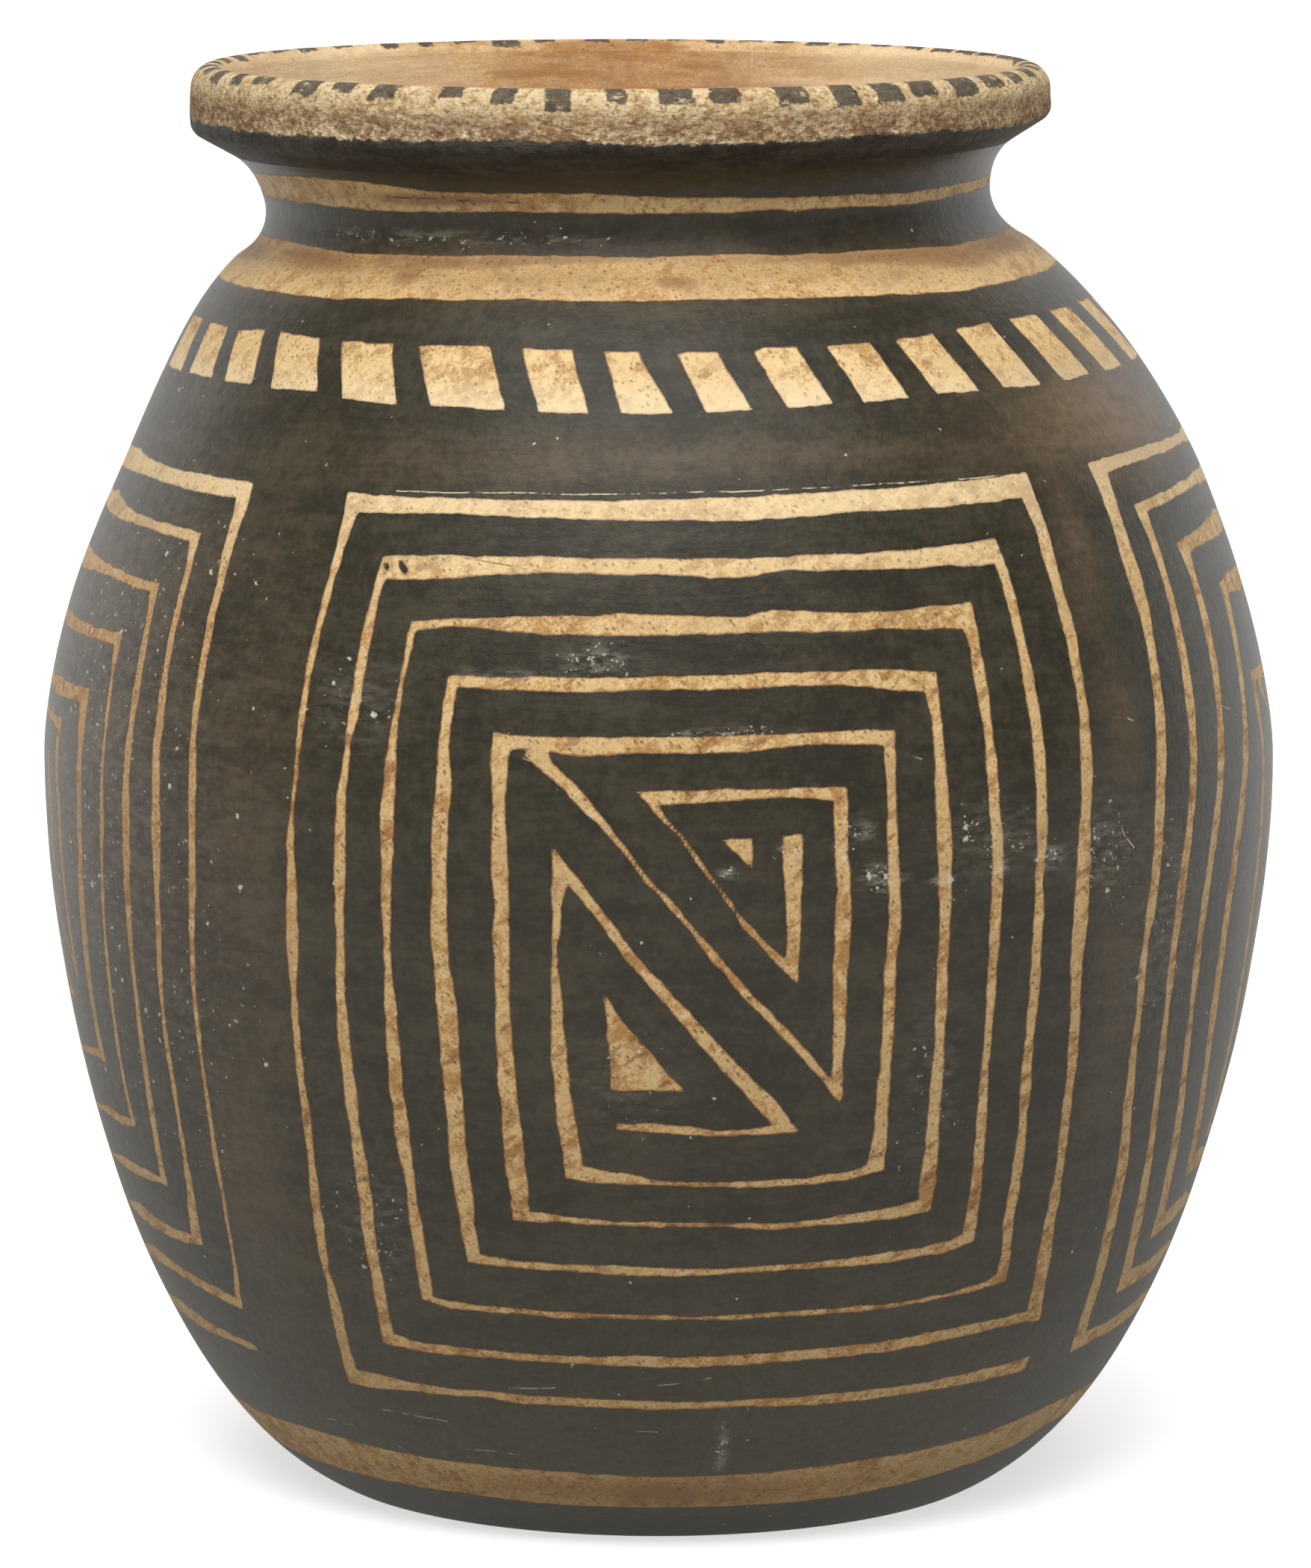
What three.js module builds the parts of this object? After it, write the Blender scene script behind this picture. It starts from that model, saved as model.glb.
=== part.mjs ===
// Pueblo pot: a hand-built jar with a round belly, a creased neck and a thick out-turned lip.
// The potter presses a disc of clay into a shallow mould for the base, lays coil after coil on
// its turned-up edge, and finishes with a neck coil, a flared rim coil and a lip coil. Every
// coil laps inside the slanted edge of the one below it and is luted to it. Millimetres, +Z up,
// standing on z = 0.

import * as THREE from "three";
import { mergeVertices } from "three/addons/utils/BufferGeometryUtils.js";

// Body of the pot, measured on its outer face
const footRadius = 63;
const bellyRadius = 114;
const bellyHeight = 135;
const bodyHeight = 231;

// Neck and rim, stacked on the body from the crease upwards
const neckRadius = 66.5;
const creaseStep = 2.5;
const neckRise = 3.5;
const flareRise = 12.5;
const flareOut = 5;
const lipUndercutRise = 4.5;
const lipOverhang = 7.5;
const lipFaceHeight = 10.5;
const lipThickness = 8;
const lipCrestRise = 5;
const lipCornerRound = 1.5;

// Clay: wall and floor, how much of the wall the base makes, the coils on it, and the joints
const wallThickness = 7;
const floorThickness = 8;
const baseWallLength = 14;
const wallCoils = 12;
const lapLength = 5;
const luteGap = 0.3;

// Where the joints of the neck and rim coils come, as shares of the flare's two faces
const neckJointOuter = 0.35;
const neckJointInner = 0.12;
const lipJointInner = 0.72;

// The hand-built neck stands off the axis of the body, and its crease is not level
const neckLean = 7;
const leanStartHeight = 185;
const leanEaseHeight = 73;
const creaseTilt = 0.02;
const tiltStartHeight = 150;
const tiltEaseHeight = 60;

// Curves of the wall: angles in degrees above level, and how far each end of a curve
// holds its direction, as a share of the height that the curve climbs
const footAngle = 26;
const footHold = 0.285;
const lowerBellyHold = 0.32;
const upperBellyHold = 0.285;
const shoulderAngle = 28;
const shoulderHold = 0.24;
const flareAngle = 35;
const flareHold = 0.4;
const innerNeckHold = 0.5;
const innerFlareAngle = 60;
const innerFlareHold = 0.35;

// Facets round the pot and points along each piece's wall
const facets = 60;
const wallPoints = 3;
const cornerPoints = 2;
const crestPoints = 6;

const creaseRadius = neckRadius + creaseStep;
const neckHeight = bodyHeight + neckRise;
const flareRadius = neckRadius + flareOut;
const flareHeight = neckHeight + flareRise;
const lipRadius = flareRadius + lipOverhang;
const lipFaceBottom = flareHeight + lipUndercutRise;
const potHeight = lipFaceBottom + lipFaceHeight;

const point = (radius, height) => new THREE.Vector2(radius, height);

// Point reached from a start by going a distance at an angle in degrees above level
function stepFrom(start, angle, distance) {
  const turn = THREE.MathUtils.degToRad(angle);
  return point(start.x + distance * Math.cos(turn), start.y + distance * Math.sin(turn));
}

// Outer face of the body: out from the foot to the belly, and in again to the crease
const footEdge = point(footRadius, 0);
const belly = point(bellyRadius, bellyHeight);
const crease = point(creaseRadius, bodyHeight);
const upperHeight = bodyHeight - bellyHeight;
const bodyWall = new THREE.CurvePath();
bodyWall.add(
  new THREE.CubicBezierCurve(
    footEdge,
    stepFrom(footEdge, footAngle, footHold * bellyHeight),
    point(bellyRadius, bellyHeight - lowerBellyHold * bellyHeight),
    belly,
  ),
);
bodyWall.add(
  new THREE.CubicBezierCurve(
    belly,
    point(bellyRadius, bellyHeight + upperBellyHold * upperHeight),
    stepFrom(crease, -shoulderAngle, shoulderHold * upperHeight),
    crease,
  ),
);
const bodyLength = bodyWall.getLength();

// Points of the body's outer face between two lengths along it from the foot
function outerStretch(fromLength, toLength, steps) {
  const points = [];
  for (let i = 0; i <= steps; i += 1) {
    const length = THREE.MathUtils.lerp(fromLength, toLength, i / steps);
    points.push(bodyWall.getPointAt(length / bodyLength));
  }
  return points;
}

// The inner face lies a wall's thickness inside the outer one, and never under the floor
function innerPoint(length) {
  const share = length / bodyLength;
  const outer = bodyWall.getPointAt(share);
  const along = bodyWall.getTangentAt(share);
  const radius = outer.x - wallThickness * along.y;
  const height = outer.y + wallThickness * along.x;
  return point(radius, Math.max(height, floorThickness));
}

function innerStretch(fromLength, toLength, steps) {
  const points = [];
  for (let i = 0; i <= steps; i += 1) {
    points.push(innerPoint(THREE.MathUtils.lerp(fromLength, toLength, i / steps)));
  }
  return points;
}

// Part of the rise from 0 to 1, with a soft start and end
const easeBetween = (height, start, rise) => THREE.MathUtils.smoothstep(height, start, start + rise);

// Moves a vertex to where the potter's hand left it: the neck leans off the axis, and the
// shoulder, crease and underside of the lip dip on the side that it leans to
function leanVertex(vertex) {
  const lean = neckLean * easeBetween(vertex.z, leanStartHeight, leanEaseHeight);
  const dipStart = easeBetween(vertex.z, tiltStartHeight, tiltEaseHeight);
  const dipEnd = easeBetween(vertex.z, lipFaceBottom, lipFaceHeight);
  vertex.z += creaseTilt * dipStart * (1 - dipEnd) * vertex.x;
  vertex.x -= lean;
}

// A ring or disc of clay turned from its half section, closed and set in place
const mergeDistance = 1e-4;
function clayPiece(name, section, clay) {
  let geometry = new THREE.LatheGeometry(section, facets);
  geometry.deleteAttribute("normal");
  geometry.deleteAttribute("uv");
  geometry.rotateX(Math.PI / 2);
  geometry = mergeVertices(geometry, mergeDistance);
  const positions = geometry.getAttribute("position");
  const vertex = new THREE.Vector3();
  for (let i = 0; i < positions.count; i += 1) {
    vertex.fromBufferAttribute(positions, i);
    leanVertex(vertex);
    positions.setXYZ(i, vertex.x, vertex.y, vertex.z);
  }
  geometry.computeVertexNormals();
  const mesh = new THREE.Mesh(geometry, clay);
  mesh.name = name;
  return mesh;
}

// Closes a ring's section, given its outer and inner faces from the bottom up
function ringSection(outer, inner) {
  return [...outer, ...inner.reverse(), outer[0].clone()];
}

// Fired clay with its matte coats: each coil has the colour that covers most of it
const matte = (colour, roughness) =>
  new THREE.MeshStandardMaterial({ color: colour, roughness, metalness: 0, flatShading: true });
const darkPaint = () => matte(0x4b453b, 0.72);
const buffSlip = () => matte(0xc4a272, 0.85);
const wornLip = () => matte(0xab8d68, 0.92);

const pot = new THREE.Group();
pot.name = "pueblo_pot";

// Base disc: the floor of the pot, flat underneath, with its edge turned up to start the wall
const halfLute = luteGap / 2;
const baseSection = [
  point(0, 0),
  ...outerStretch(0, baseWallLength - halfLute, wallPoints),
  ...innerStretch(0, baseWallLength - lapLength - halfLute, wallPoints).reverse(),
  point(0, floorThickness),
];
pot.add(clayPiece("base_disc", baseSection, darkPaint()));

// Wall coils: rolls of clay about twice as thick as the wall, each pinched and scraped thin,
// which share the wall between the base and the crease evenly
const coilHeight = (bodyLength - baseWallLength) / wallCoils;
for (let i = 0; i < wallCoils; i += 1) {
  const bottom = baseWallLength + i * coilHeight + halfLute;
  const top = baseWallLength + (i + 1) * coilHeight - halfLute;
  const section = ringSection(
    outerStretch(bottom, top, wallPoints),
    innerStretch(bottom - lapLength, top - lapLength, wallPoints),
  );
  const clay = i === wallCoils - 1 ? buffSlip() : darkPaint();
  pot.add(clayPiece(`wall_coil_${String(i + 1).padStart(2, "0")}`, section, clay));
}

// Outer face of the neck and rim: in over the crease, up, and out to the lip's underside
const throat = point(neckRadius, neckHeight);
const flareEdge = point(flareRadius, flareHeight);
const flareCurve = new THREE.CubicBezierCurve(
  throat,
  point(neckRadius, neckHeight + flareHold * flareRise),
  stepFrom(flareEdge, flareAngle, -flareHold * flareRise),
  flareEdge,
);

// Inner face of the neck and rim: from the last coil up to the throat, and out to the crest
const innerCrease = innerPoint(bodyLength - lapLength);
const innerThroat = point(neckRadius - wallThickness, neckHeight);
const innerEdge = point(lipRadius - lipThickness, potHeight - lipCrestRise);
const innerRise = innerEdge.y - innerThroat.y;
const innerNeck = new THREE.QuadraticBezierCurve(
  innerCrease,
  stepFrom(innerThroat, -90, innerNeckHold * (innerThroat.y - innerCrease.y)),
  innerThroat,
);
const innerFlare = new THREE.CubicBezierCurve(
  innerThroat,
  stepFrom(innerThroat, 90, innerFlareHold * innerRise),
  stepFrom(innerEdge, innerFlareAngle, -innerFlareHold * innerRise),
  innerEdge,
);

// Points of a curve between two shares of its length
function curveStretch(curve, fromShare, toShare, steps) {
  const points = [];
  for (let i = 0; i <= steps; i += 1) {
    points.push(curve.getPointAt(THREE.MathUtils.lerp(fromShare, toShare, i / steps)));
  }
  return points;
}

// Neck coil: stands on the last wall coil and ends half way up the flare, bevelled inwards
const flareLute = halfLute / flareCurve.getLength();
const innerLute = halfLute / innerFlare.getLength();
const creaseLute = luteGap / innerNeck.getLength();
const creaseEdge = crease.clone().lerp(throat, luteGap / crease.distanceTo(throat));
const neckOuter = [creaseEdge, ...curveStretch(flareCurve, 0, neckJointOuter - flareLute, wallPoints)];
const neckInner = [
  ...curveStretch(innerNeck, creaseLute, 1, wallPoints),
  innerFlare.getPointAt(neckJointInner - innerLute),
];
pot.add(clayPiece("neck_coil", ringSection(neckOuter, neckInner), darkPaint()));

// Rim coil: the flare, from the neck's bevelled edge to the crease under the lip
const rimOuter = curveStretch(flareCurve, neckJointOuter + flareLute, 1 - flareLute, wallPoints);
const rimInner = curveStretch(innerFlare, neckJointInner + innerLute, lipJointInner - innerLute, wallPoints);
pot.add(clayPiece("rim_coil", ringSection(rimOuter, rimInner), darkPaint()));

// Lip coil: a thick roll on the outside of the rim's edge, its face patted flat and its
// crest rounded over into the mouth
const lipCorner = point(lipRadius, lipFaceBottom);
const cornerShare = lipCornerRound / flareEdge.distanceTo(lipCorner);
const cornerCurve = new THREE.QuadraticBezierCurve(
  lipCorner.clone().lerp(flareEdge, cornerShare),
  lipCorner,
  point(lipRadius, lipFaceBottom + lipCornerRound),
);
const crestCurve = new THREE.EllipseCurve(
  lipRadius - lipThickness / 2,
  innerEdge.y,
  lipThickness / 2,
  lipCrestRise,
  0,
  Math.PI,
);
const lipOuter = [
  flareEdge.clone().add(point(halfLute, halfLute)),
  ...cornerCurve.getPoints(cornerPoints),
  ...crestCurve.getPoints(crestPoints),
];
const lipInner = curveStretch(innerFlare, lipJointInner + innerLute, 1, 1).slice(0, -1);
pot.add(clayPiece("lip_coil", ringSection(lipOuter, lipInner), wornLip()));

export default pot;
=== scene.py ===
import math

import bpy
import numpy as np
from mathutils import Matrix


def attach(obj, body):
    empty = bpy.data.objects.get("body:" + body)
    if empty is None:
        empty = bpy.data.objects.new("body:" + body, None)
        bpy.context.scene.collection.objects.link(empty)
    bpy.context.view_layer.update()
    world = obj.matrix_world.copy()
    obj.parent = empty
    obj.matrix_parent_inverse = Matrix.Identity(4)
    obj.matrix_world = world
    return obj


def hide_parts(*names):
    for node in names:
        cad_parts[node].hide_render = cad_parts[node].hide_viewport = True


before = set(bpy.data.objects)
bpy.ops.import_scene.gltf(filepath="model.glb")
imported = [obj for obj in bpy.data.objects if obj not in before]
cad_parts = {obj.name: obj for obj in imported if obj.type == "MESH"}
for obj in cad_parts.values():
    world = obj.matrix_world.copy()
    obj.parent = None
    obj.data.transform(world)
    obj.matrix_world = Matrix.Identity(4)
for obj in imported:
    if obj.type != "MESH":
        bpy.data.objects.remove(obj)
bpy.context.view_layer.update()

# Camera
# The pot stands at eye level of a long lens, seen from a little above its belly. The numbers
# were fitted to the pot's outline in the photograph, whose frame is 1756 x 2100 pixels.
photo_width = 1756
photo_height = 2100
viewing_distance = 1.5
viewing_angle = math.radians(8.6)
aim_across = -0.00045
aim_height = 0.128
metres_per_pixel = 0.00013899
focal_pixels = viewing_distance / metres_per_pixel
sensor_width = 36.0

camera_back = viewing_distance * math.cos(viewing_angle)
camera_height = aim_height + viewing_distance * math.sin(viewing_angle)
camera_data = bpy.data.cameras.new("camera")
camera_data.sensor_fit = "HORIZONTAL"
camera_data.sensor_width = sensor_width
camera_data.lens = focal_pixels * sensor_width / photo_width
camera_data.clip_end = 20
camera = bpy.data.objects.new("camera", camera_data)
camera.location = (aim_across, -camera_back, camera_height)
camera.rotation_euler = (math.pi / 2 - viewing_angle, 0, 0)
bpy.context.scene.collection.objects.link(camera)
bpy.context.scene.camera = camera


# Base disc
# The first lump of clay: a disc pressed into a shallow mould, flat underneath, with its edge
# turned up to start the wall. Its outer face is slipped, painted brown-black and burnished.
# It also sets the shape of the whole wall, so the wall's sizes are here, in millimetres.
mm = 0.001
foot_radius = 63.0
belly_radius = 114.0
belly_height = 135.0
body_height = 231.0
neck_radius = 66.5
crease_step = 2.5
neck_rise = 3.5
flare_rise = 12.5
flare_out = 5.0
undercut_rise = 4.5
lip_overhang = 7.5
lip_face_height = 10.5
lip_thickness = 8.0
lip_crest_rise = 5.0
lip_corner_round = 1.5
wall_thickness = 7.0
floor_thickness = 8.0
base_wall_length = 14.0
wall_coils = 12
lap_length = 5.0
columns = 1200
row_step = 0.6
inner_row_step = 4.0

neck_lean = 7.0
lean_start = 185.0
lean_ease = 73.0
crease_tilt = 0.02
tilt_start = 150.0
tilt_ease = 60.0

# Curves of the wall: angles above level, and how far each end of a curve holds its direction,
# as a share of the height that the curve climbs
foot_angle = 26
foot_hold = 0.285
lower_belly_hold = 0.32
upper_belly_hold = 0.285
shoulder_angle = 28
shoulder_hold = 0.24
flare_angle = 35
flare_hold = 0.4
inner_neck_hold = 0.5
inner_flare_angle = 60
inner_flare_hold = 0.35

crease_radius = neck_radius + crease_step
neck_height = body_height + neck_rise
flare_radius = neck_radius + flare_out
flare_height = neck_height + flare_rise
lip_radius = flare_radius + lip_overhang
lip_face_bottom = flare_height + undercut_rise
pot_height = lip_face_bottom + lip_face_height


curve_points = 400


def curve(*controls):
    """Closely spaced points of a Bezier curve, from its control points."""
    share = np.linspace(0, 1, curve_points)[:, None]
    points = np.array(controls, float)[:, None, :] + np.zeros((1, curve_points, 2))
    while len(points) > 1:
        points = points[:-1] * (1 - share) + points[1:] * share
    return points[0]


def step_from(start, degrees, distance):
    """The point reached by going a distance from a start, at an angle above level."""
    turn = math.radians(degrees)
    return start[0] + distance * math.cos(turn), start[1] + distance * math.sin(turn)


def lengths_along(points):
    """How far along a line of points each of them lies."""
    steps = np.hypot(*np.diff(points, axis=0).T)
    return np.concatenate([[0], np.cumsum(steps)])


def stretch(points, start, end, step):
    """Evenly spaced points on a line, between two lengths along it."""
    along = lengths_along(points)
    wanted = np.linspace(start, end, max(2, int(round(abs(end - start) / step)) + 1))
    return np.column_stack([np.interp(wanted, along, points[:, i]) for i in (0, 1)])


upper_height = body_height - belly_height
foot_edge = (foot_radius, 0.0)
crease = (crease_radius, body_height)
lower_wall = curve(
    foot_edge,
    step_from(foot_edge, foot_angle, foot_hold * belly_height),
    (belly_radius, (1 - lower_belly_hold) * belly_height),
    (belly_radius, belly_height),
)
upper_wall = curve(
    (belly_radius, belly_height),
    (belly_radius, belly_height + upper_belly_hold * upper_height),
    step_from(crease, -shoulder_angle, shoulder_hold * upper_height),
    crease,
)
body_line = np.vstack([lower_wall, upper_wall[1:]])
body_lengths = lengths_along(body_line)
body_length = body_lengths[-1]
body_slope = np.gradient(body_line, body_lengths, axis=0)
inside_line = np.column_stack(
    [
        body_line[:, 0] - wall_thickness * body_slope[:, 1],
        np.maximum(body_line[:, 1] + wall_thickness * body_slope[:, 0], floor_thickness),
    ]
)


def inside_stretch(start, end, step):
    """Points of the wall's inner face, between two lengths measured on its outer face."""
    wanted = np.linspace(start, end, max(2, int(round(abs(end - start) / step)) + 1))
    return np.column_stack([np.interp(wanted, body_lengths, inside_line[:, i]) for i in (0, 1)])


# The outer face above the body: over the crease, up the neck, out under the lip and round it
throat = (neck_radius, neck_height)
flare_edge = (flare_radius, flare_height)
flare_line = curve(
    throat,
    (neck_radius, neck_height + flare_hold * flare_rise),
    step_from(flare_edge, flare_angle, -flare_hold * flare_rise),
    flare_edge,
)
undercut = np.subtract((lip_radius, lip_face_bottom), flare_edge)
corner_start = (lip_radius, lip_face_bottom) - undercut * lip_corner_round / np.hypot(*undercut)
corner_line = curve(
    corner_start,
    (lip_radius, lip_face_bottom),
    (lip_radius, lip_face_bottom + lip_corner_round),
)
crest_sweep = math.radians(144)
crest_turn = np.linspace(0, crest_sweep, curve_points)
crest_line = np.column_stack(
    [
        lip_radius - lip_thickness / 2 + lip_thickness / 2 * np.cos(crest_turn),
        pot_height - lip_crest_rise + lip_crest_rise * np.sin(crest_turn),
    ]
)
# A wiped hollow takes the sharpness off the crease. It runs out at one of the flare's points
crease_wipe = 5.0
wipe_end = 90
wipe_start = stretch(body_line, body_length - crease_wipe, body_length, 1)[0]
wipe_slope = math.radians(shoulder_angle)
wipe_low = (neck_radius, wipe_start[1] + (wipe_start[0] - neck_radius) * math.tan(wipe_slope))
wipe_line = curve(wipe_start, wipe_low, flare_line[wipe_end])
outer_line = np.vstack(
    [
        body_line[body_lengths < body_length - crease_wipe],
        wipe_line,
        flare_line[wipe_end + 1 :],
        corner_line,
        crest_line,
    ]
)
same_point = 1e-6
outer_line = outer_line[np.append(True, np.hypot(*np.diff(outer_line, axis=0).T) > same_point)]
outer_lengths = lengths_along(outer_line)


def length_at(point):
    """How far along the outer face a point of it lies."""
    return outer_lengths[np.argmin(np.hypot(*(outer_line - point).T))]


throat_length = length_at(throat)
flare_end_length = length_at(flare_edge)
crest_start_length = length_at((lip_radius, pot_height - lip_crest_rise))

# Inner face of the neck and rim, from the last wall coil's inner edge up to the crest
inner_throat = (neck_radius - wall_thickness, neck_height)
inner_crease = tuple(inside_stretch(0, body_length - lap_length, 1)[-1])
inner_edge = (lip_radius - lip_thickness, pot_height - lip_crest_rise)
inner_neck_line = curve(
    inner_crease,
    (inner_throat[0], inner_throat[1] - inner_neck_hold * (inner_throat[1] - inner_crease[1])),
    inner_throat,
)
inner_rise = inner_edge[1] - inner_throat[1]
inner_flare_line = curve(
    inner_throat,
    (inner_throat[0], inner_throat[1] + inner_flare_hold * inner_rise),
    step_from(inner_edge, inner_flare_angle, -inner_flare_hold * inner_rise),
    inner_edge,
)


def smooth_rise(height, start, ease):
    """From 0 to 1 with a soft start and end."""
    share = np.clip((height - start) / ease, 0, 1)
    return share * share * (3 - 2 * share)


def set_by_hand(x, z):
    """Where the potter's hand left a point: the neck leans over and the crease dips."""
    dip = smooth_rise(z, tilt_start, tilt_ease)
    dip = dip * (1 - smooth_rise(z, lip_face_bottom, lip_face_height))
    lean = neck_lean * smooth_rise(z, lean_start, lean_ease)
    return x - lean, z + crease_tilt * dip * x


def photo_pixel(angle, length):
    """The photograph's pixel at which a point of the wall's outer face shows. The angle is
    nought at the front and grows to the right, and the length is measured up from the foot."""
    radius = np.interp(length, outer_lengths, outer_line[:, 0])
    height = np.interp(length, outer_lengths, outer_line[:, 1])
    x, z = set_by_hand(radius * np.sin(angle), height)
    across = x * mm - aim_across
    back = camera_back - radius * np.cos(angle) * mm
    up = z * mm - camera_height
    depth = back * math.cos(viewing_angle) - up * math.sin(viewing_angle)
    lift = back * math.sin(viewing_angle) + up * math.cos(viewing_angle)
    return (
        photo_width / 2 + focal_pixels * across / depth,
        photo_height / 2 - focal_pixels * lift / depth,
    )


# Points all over the side that shows, from which a pixel's place on the wall is looked for
widest_guess = 84
highest_guess = crest_start_length + 6.5
guess_angle, guess_length = np.meshgrid(
    np.radians(np.linspace(-widest_guess, widest_guess, 85)), np.linspace(0, highest_guess, 220)
)
guess_angle = guess_angle.ravel()
guess_length = guess_length.ravel()
guess_pixels = np.column_stack(photo_pixel(guess_angle, guess_length))


def on_wall(pixels):
    """Angle and length of the wall's points that show at pixels of the photograph. The search
    starts at the nearest guess, and each round goes on by how far off the last one was."""
    pixels = np.asarray(pixels, float).reshape(-1, 2)
    nearest = [np.argmin(((guess_pixels - p) ** 2).sum(1)) for p in pixels]
    angle, length = guess_angle[nearest], guess_length[nearest]
    turn, climb = 1e-4, 0.02
    turn_limit, climb_limit, widest = 0.05, 3, 1.51
    flattest = 400
    rounds = 12
    for _ in range(rounds):
        u, v = photo_pixel(angle, length)
        u_turn, v_turn = photo_pixel(angle + turn, length)
        u_climb, v_climb = photo_pixel(angle, length + climb)
        a, b = (u_turn - u) / turn, (u_climb - u) / climb
        c, d = (v_turn - v) / turn, (v_climb - v) / climb
        det = a * d - b * c
        det = np.where(np.abs(det) < flattest, -flattest, det)
        off_u, off_v = pixels[:, 0] - u, pixels[:, 1] - v
        more_angle = np.clip((d * off_u - b * off_v) / det, -turn_limit, turn_limit)
        more_length = np.clip((a * off_v - c * off_u) / det, -climb_limit, climb_limit)
        angle = np.clip(angle + more_angle, -widest, widest)
        length = length + more_length
    return np.column_stack([angle, length])


def edge_all_round(pixels):
    """An edge that runs round the pot, read off the photograph, as lengths at every column."""
    clear_angle = 1.3
    seen = on_wall(pixels)
    seen = seen[np.abs(seen[:, 0]) < clear_angle]
    seen = seen[np.argsort(seen[:, 0])]
    return np.interp(column_angles, seen[:, 0], seen[:, 1], period=2 * math.pi)


column_angles = (np.arange(columns) - columns // 2) * 2 * math.pi / columns
edge_reach = 4.0
far_off = 9.0
bands = []
shapes = []
painted_dots = []
stains = []
dust = []
scratches = []


def bare_slip(lengths):
    """How far inside the bare buff slip each point of the wall lies, in millimetres, at these
    lengths up the wall and at every column. Under the paint it is negative."""
    lengths = np.asarray(lengths, float)[:, None]
    field = np.full((len(lengths), columns), -far_off)
    for lower, upper in bands:
        field = np.maximum(field, np.minimum(lengths - lower, upper - lengths))
    lowest, highest = lengths.min() - edge_reach, lengths.max() + edge_reach
    for shape in shapes:
        if shape[:, 1].max() > lowest and shape[:, 1].min() < highest:
            field = np.maximum(field, inside_shape(shape, lengths))
    for dot in painted_dots:
        if dot[:, 1].max() > lowest and dot[:, 1].min() < highest:
            field = np.minimum(field, -inside_shape(dot, lengths))
    return field


def soft_marks(marks, lengths):
    """Strength of soft-edged marks over the wall, from 0 to 1. A mark is a pixel of the
    photograph, half its width and height there in pixels, and its strength."""
    lengths = np.asarray(lengths, float)[:, None]
    strength = np.zeros((len(lengths), columns))
    least_turn, least_climb, falloff = 0.002, 0.3, 0.7
    for x, y, wide, tall, strong in marks:
        (angle, length), (left, _), (right, _), (_, top), (_, bottom) = on_wall(
            [(x, y), (x - wide, y), (x + wide, y), (x, y - tall), (x, y + tall)]
        )
        off = (column_angles - angle + math.pi) % (2 * math.pi) - math.pi
        across = off / max(abs(right - left) / 2, least_turn)
        up = (lengths - length) / max(abs(top - bottom) / 2, least_climb)
        strength = np.maximum(strength, strong * np.exp(-falloff * (across**2 + up**2)))
    return strength


def scratched(lengths):
    """Signed distance from the middle of the nearest scratch, in millimetres, and how strong
    the scratch is there: chalky above nought, dark below it."""
    lengths = np.asarray(lengths, float)[:, None]
    radius = np.interp(lengths, outer_lengths, outer_line[:, 0])
    offset = np.full((len(lengths), columns), far_off)
    depth = np.zeros((len(lengths), columns))
    reach, past_end, fade_start, fade_over = 2.6, 0.3, 1.0, 1.0
    lowest, highest = lengths.min() - edge_reach, lengths.max() + edge_reach
    for line, strong in scratches:
        if line[:, 1].max() < lowest or line[:, 1].min() > highest:
            continue
        for (a0, s0), (a1, s1) in zip(line[:-1], line[1:]):
            x = ((column_angles - a0 + math.pi) % (2 * math.pi) - math.pi) * radius
            y = lengths - s0
            dx = (a1 - a0) * radius
            long = np.hypot(dx, s1 - s0)
            along = (x * dx + y * (s1 - s0)) / long
            across = (y * dx - x * (s1 - s0)) / long
            near = (along > -past_end) & (along < long + past_end) & (np.abs(across) < reach)
            near &= np.abs(across) < np.abs(offset)
            offset[near] = across[near]
            fade = 1 - smooth_rise(np.abs(across), fade_start, fade_over)
            depth[near] = (strong * fade)[near]
    return offset, depth


def inside_shape(shape, lengths):
    """How far inside a closed outline on the wall each point lies, in millimetres."""
    middle = int(round(np.mean(shape[:, 0]) * columns / (2 * math.pi)))
    angles = column_angles + middle * 2 * math.pi / columns
    radius = np.interp(lengths, outer_lengths, outer_line[:, 0])
    near = np.full((len(lengths), columns), far_off)
    flips = np.zeros((len(lengths), columns + 1), int)
    heights = lengths[:, 0]
    for (a0, s0), (a1, s1) in zip(shape, np.roll(shape, -1, axis=0)):
        low, high = min(s0, s1), max(s0, s1)
        rows = np.where((heights > low - edge_reach) & (heights < high + edge_reach))[0]
        if not len(rows):
            continue
        rows = slice(rows[0], rows[-1] + 1)
        side = edge_reach / radius[rows].min()
        spots = np.where((angles > min(a0, a1) - side) & (angles < max(a0, a1) + side))[0]
        spots = slice(spots[0], spots[-1] + 1)
        dx = (a1 - a0) * radius[rows]
        x = (angles[None, spots] - a0) * radius[rows]
        y = lengths[rows] - s0
        share = np.clip((x * dx + y * (s1 - s0)) / (dx * dx + (s1 - s0) ** 2 + 1e-9), 0, 1)
        distance = np.hypot(x - share * dx, y - share * (s1 - s0))
        near[rows, spots] = np.minimum(near[rows, spots], distance)
        crossed = np.where((heights >= low) & (heights < high))[0]
        cut = a0 + (heights[crossed] - s0) / (s1 - s0 if s1 != s0 else 1) * (a1 - a0)
        np.add.at(flips, (crossed, np.searchsorted(angles, cut)), 1)
    inside = np.cumsum(flips, axis=1)[:, :columns] % 2 == 1
    return np.roll(np.where(inside, near, -near), middle, axis=1)


def node(tree, kind, **settings):
    """A new node in a tree, with its settings."""
    made = tree.nodes.new(kind)
    for name, value in settings.items():
        setattr(made, name, value)
    return made


def put(tree, value, socket):
    """Gives a node's input a value, or links another node's output to it."""
    if isinstance(value, bpy.types.NodeSocket):
        tree.links.new(value, socket)
    else:
        socket.default_value = value


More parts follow.
